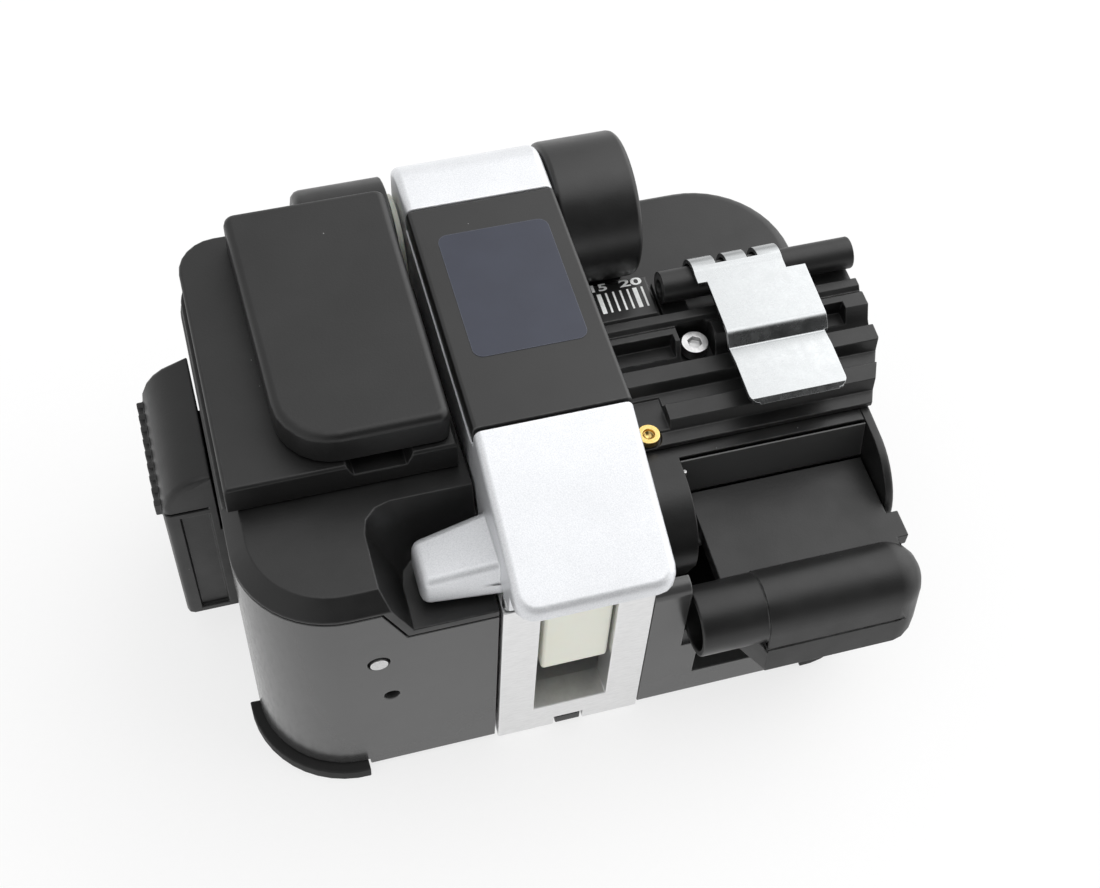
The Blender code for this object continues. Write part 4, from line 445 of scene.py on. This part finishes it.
def lathe(name, profile, x, y, sides=32):
    """A closed turned shape about an upright line, from (radius, height) pairs, axis to axis."""
    bm = bmesh.new()
    rings = []
    for radius, height in profile:
        count = sides if radius else 1
        angles = [math.tau * k / sides for k in range(count)]
        points = [at(x + radius * math.cos(a), y + radius * math.sin(a), height) for a in angles]
        # A point on the axis stands for a whole ring, so its faces lose a corner.
        rings.append([bm.verts.new(point) for point in points] * (sides // count))
    for lower, upper in zip(rings, rings[1:]):
        for k in range(sides):
            corners = (lower[k - 1], lower[k], upper[k], upper[k - 1])
            bm.faces.new(list(dict.fromkeys(corners)))
    piece = closed_piece(bm, name)
    piece.data.shade_smooth()
    return piece


def round_box(left, front, right, back, radius, steps=8):
    outline = []
    for cx, cy, start in (
        (right - radius, back - radius, 0),
        (left + radius, back - radius, 90),
        (left + radius, front + radius, 180),
        (right - radius, front + radius, 270),
    ):
        for i in range(steps + 1):
            turn = math.radians(start + 90 * i / steps)
            outline.append((cx + radius * math.cos(turn), cy + radius * math.sin(turn)))
    return outline


def top_of(node):
    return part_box(node)[1].z * MM_PER_M


# The bare label place on the arm's inlay, and the thin bright ledge of the casting along the inlay's foot
LABEL_BOX = (-6.85, 25.15, 7.25, 44.65)
LABEL_CORNER = 1.3
LABEL_SUNK = 0.02
LABEL_PROUD = 0.06
LEDGE_BOX = (-9.75, 15.6, -9.40, 49.2)
LEDGE_CORNER = 0.12
LEDGE_LOW = 3.18
LEDGE_HIGH = 2.92

inlay_top = top_of("arm_inlay")
label_outline = round_box(*LABEL_BOX, LABEL_CORNER)
label = solid("label_place", [label_outline], inlay_top - LABEL_SUNK, inlay_top + LABEL_PROUD)
fit(label, "arm", LABEL)
ledge_outline = round_box(*LEDGE_BOX, LEDGE_CORNER, steps=4)
ledge = solid("inlay_ledge", [ledge_outline], inlay_top - LEDGE_LOW, inlay_top - LEDGE_HIGH)
fit(ledge, "arm", FINISHES["silver_paint"])

# The wall behind the press lever, close to the panel's back edge and clear of its swing
APRON_FACE = [(18.56, 29.82), (18.42, 29.76), (17.32, 24.20)]
APRON_FOOT = [(17.40, 23.80), (17.70, 23.60), (18.90, 23.60)]
APRON_BACK = [(18.90, 28.60)]
APRON_LEFT = 18.86
APRON_RIGHT = 44.44

apron = across("recess_apron", APRON_FACE + APRON_FOOT + APRON_BACK, APRON_LEFT, APRON_RIGHT)
fit(apron, "base", FINISHES["gloss_shell"])

# The printed scale: a bar at each millimetre, thicker at each fifth
PRINT_SUNK = 0.01
PRINT_PROUD = 0.02
BARS = range(12, 22)
BAR_SHIFT = 0.06
BAR_HALF = 0.14
FIFTH_HALF = 0.30
BAR_FRONT = 40.55
BAR_BACK = 43.98
BAR_CORNER = 0.08

scale_top = top_of("scale_plate")
print_low = scale_top - PRINT_SUNK
print_high = scale_top + PRINT_PROUD
bars = []
for millimetre in BARS:
    middle = millimetre + BAR_SHIFT
    half = FIFTH_HALF if millimetre % 5 == 0 else BAR_HALF
    bars.append(round_box(middle - half, BAR_FRONT, middle + half, BAR_BACK, BAR_CORNER, steps=3))
fit(solid("scale_ticks", bars, print_low, print_high), "base", INK)

# The dish in the brass eyelet, as radius and depth below the eyelet's top
DISH_BOWL = [(0, 0.90), (0.40, 0.88), (0.74, 0.46), (0.78, 0.42)]
DISH_UNDER = [(0.78, 1.1), (0, 1.1)]

eyelet_low, eyelet_high = (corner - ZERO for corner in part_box("brass_eyelet"))
eyelet_x, eyelet_y = ((eyelet_low[i] + eyelet_high[i]) / 2 * MM_PER_M for i in range(2))
eyelet_top = eyelet_high.z * MM_PER_M
dish_profile = [(radius, eyelet_top - depth) for radius, depth in DISH_BOWL + DISH_UNDER]
fit(lathe("eyelet_dish", dish_profile, eyelet_x, eyelet_y), "base", FINISHES["brass"])

# The scale's numbers
NUMBER_FRONT = 44.42
NUMBER_BACK = 45.64
NUMBER_WEIGHT = 0.025
NUMBER_STEPS = 6
NUMBER_WELD = 0.1 * MICRON


def number(text, left, right):
    """A printed number, made to fill a box on the scale plate."""
    font = bpy.data.curves.new("scale_" + text, "FONT")
    font.body = text
    font.size = 1.0
    font.offset = NUMBER_WEIGHT
    font.extrude = 0.5
    font.resolution_u = NUMBER_STEPS
    draft = link(bpy.data.objects.new("draft_" + text, font))
    bpy.context.view_layer.update()
    mesh = bpy.data.meshes.new_from_object(draft.evaluated_get(bpy.context.evaluated_depsgraph_get()))
    bpy.data.objects.remove(draft)
    bpy.data.curves.remove(font)
    low = [min(v.co[i] for v in mesh.vertices) for i in range(3)]
    high = [max(v.co[i] for v in mesh.vertices) for i in range(3)]
    box = ((left, right), (NUMBER_FRONT, NUMBER_BACK), (print_low, print_high))
    for v in mesh.vertices:
        shares = [(v.co[i] - low[i]) / (high[i] - low[i]) for i in range(3)]
        v.co = at(*(start + share * (end - start) for share, (start, end) in zip(shares, box)))
    bm = bmesh.new()
    bm.from_mesh(mesh)
    bmesh.ops.remove_doubles(bm, verts=bm.verts, dist=NUMBER_WELD)
    bm.to_mesh(mesh)
    bm.free()
    mesh.name = "scale_number_" + text
    fit(link(bpy.data.objects.new("scale_number_" + text, mesh)), "base", INK)


number("15", 14.35, 16.50)
number("20", 18.25, 21.40)


# Floor, camera and light

FLOOR_HALF = 3.0
FLOOR_GLOW = 0.75


def stage_floor():
    """White paper that glows, so that it is white all over and still takes the object's shadow."""
    f = Finish("floor_paper")
    fibres = f.noise(900, detail=4)
    f.set(Base_Color=f.ramp(fibres, grey(0.93), grey(0.95)), Roughness=0.9)
    f.set(Specular_IOR_Level=0.1, Normal=f.bump(fibres, 20 * MICRON, strength=0.1))
    glow = f.node("ShaderNodeEmission", Color=WHITE, Strength=1.0)
    lit = f.node("ShaderNodeMixShader", Fac=FLOOR_GLOW)
    f.feed(lit.inputs[1], f.shader.outputs["BSDF"])
    f.feed(lit.inputs[2], glow.outputs["Emission"])
    f.feed(f.out.inputs["Surface"], lit.outputs["Shader"])
    mesh = bpy.data.meshes.new("floor")
    half = FLOOR_HALF
    corners = [(-half, -half, 0), (half, -half, 0), (half, half, 0), (-half, half, 0)]
    mesh.from_pydata(corners, [], [(0, 1, 2, 3)])
    floor = link(bpy.data.objects.new("floor", mesh))
    mesh.materials.append(f.material)


stage_floor()

# Fitted to the photograph's straight edges; the place is in millimetres, as in at().
CAMERA_ELEVATION = math.radians(55.13)
CAMERA_AZIMUTH = math.radians(19.19)
CAMERA_ROLL = math.radians(4.38)
CAMERA_PLACE = (-37.8, -92.9, 209.2)
CAMERA_LENS = 55.57
SENSOR_WIDTH = 36.0


def place_camera():
    level = math.cos(CAMERA_ELEVATION)
    ahead = Vector((
        level * math.sin(CAMERA_AZIMUTH),
        level * math.cos(CAMERA_AZIMUTH),
        -math.sin(CAMERA_ELEVATION),
    ))
    right = ahead.cross(Vector((0, 0, 1))).normalized()
    up = right.cross(ahead)
    side = math.cos(CAMERA_ROLL) * right + math.sin(CAMERA_ROLL) * up
    head = math.cos(CAMERA_ROLL) * up - math.sin(CAMERA_ROLL) * right
    data = bpy.data.cameras.new("camera")
    data.sensor_fit = "HORIZONTAL"
    data.sensor_width = SENSOR_WIDTH
    data.lens = CAMERA_LENS
    data.clip_start = 0.01
    data.clip_end = 20.0
    camera = link(bpy.data.objects.new("camera", data))
    turn = Matrix((side, head, -ahead)).transposed().to_4x4()
    camera.matrix_world = Matrix.Translation(at(*CAMERA_PLACE)) @ turn
    scene.camera = camera


place_camera()

LAMP_AIM = (0, 0, 0.02)


def softbox(name, place, width, height, power):
    data = bpy.data.lights.new(name, "AREA")
    data.shape = "RECTANGLE"
    data.size = width
    data.size_y = height
    data.energy = power
    lamp = link(bpy.data.objects.new(name, data))
    lamp.location = place
    lamp.rotation_mode = "QUATERNION"
    lamp.rotation_quaternion = (Vector(LAMP_AIM) - Vector(place)).to_track_quat("-Z", "Y")


softbox("key", place=(0.60, 0.30, 0.55), width=0.7, height=0.6, power=1.2)
softbox("roof", place=(0.02, 0.02, 0.75), width=0.6, height=0.6, power=0.8)

# The room's paler side and its open side, with the cosines between which the light changes, and its levels
PALE_SIDE = (0.85, 0.20, 0.50)
PALE_SPAN = (0.54, 0.80)
PALE_LEVELS = (0.78, 1.85)
OPEN_SIDE = (0.15, -0.83, 0.54)
OPEN_SPAN = (0.68, 0.96)
OPEN_LEVELS = (1.0, 0.05)


def room_light():
    """A white tent, paler to the right, that is open and so dark behind the camera."""
    world = bpy.data.worlds.new("room")
    scene.world = world
    world.use_nodes = True
    tree = world.node_tree
    tree.nodes.clear()
    coords = tree.nodes.new("ShaderNodeTexCoord")

    def shade(towards, span, levels):
        """A grey that runs between the levels as directions turn towards the one given."""
        lean = tree.nodes.new("ShaderNodeVectorMath")
        lean.operation = "DOT_PRODUCT"
        lean.inputs[1].default_value = Vector(towards).normalized()
        tree.links.new(coords.outputs["Generated"], lean.inputs[0])
        ramp = tree.nodes.new("ShaderNodeMapRange")
        ramp.interpolation_type = "SMOOTHSTEP"
        for key, value in zip(RANGE_SOCKETS, (*span, *levels)):
            ramp.inputs[key].default_value = value
        tree.links.new(lean.outputs["Value"], ramp.inputs["Value"])
        return ramp.outputs["Result"]

    both = tree.nodes.new("ShaderNodeMath")
    both.operation = "MULTIPLY"
    tree.links.new(shade(PALE_SIDE, PALE_SPAN, PALE_LEVELS), both.inputs[0])
    tree.links.new(shade(OPEN_SIDE, OPEN_SPAN, OPEN_LEVELS), both.inputs[1])
    lit = tree.nodes.new("ShaderNodeBackground")
    lit.inputs["Color"].default_value = WHITE
    tree.links.new(both.outputs["Value"], lit.inputs["Strength"])
    seen = tree.nodes.new("ShaderNodeBackground")
    seen.inputs["Color"].default_value = WHITE
    path = tree.nodes.new("ShaderNodeLightPath")
    mix = tree.nodes.new("ShaderNodeMixShader")
    tree.links.new(path.outputs["Is Camera Ray"], mix.inputs["Fac"])
    tree.links.new(lit.outputs["Background"], mix.inputs[1])
    tree.links.new(seen.outputs["Background"], mix.inputs[2])
    out = tree.nodes.new("ShaderNodeOutputWorld")
    tree.links.new(mix.outputs["Shader"], out.inputs["Surface"])


room_light()
scene.view_settings.view_transform = "Standard"
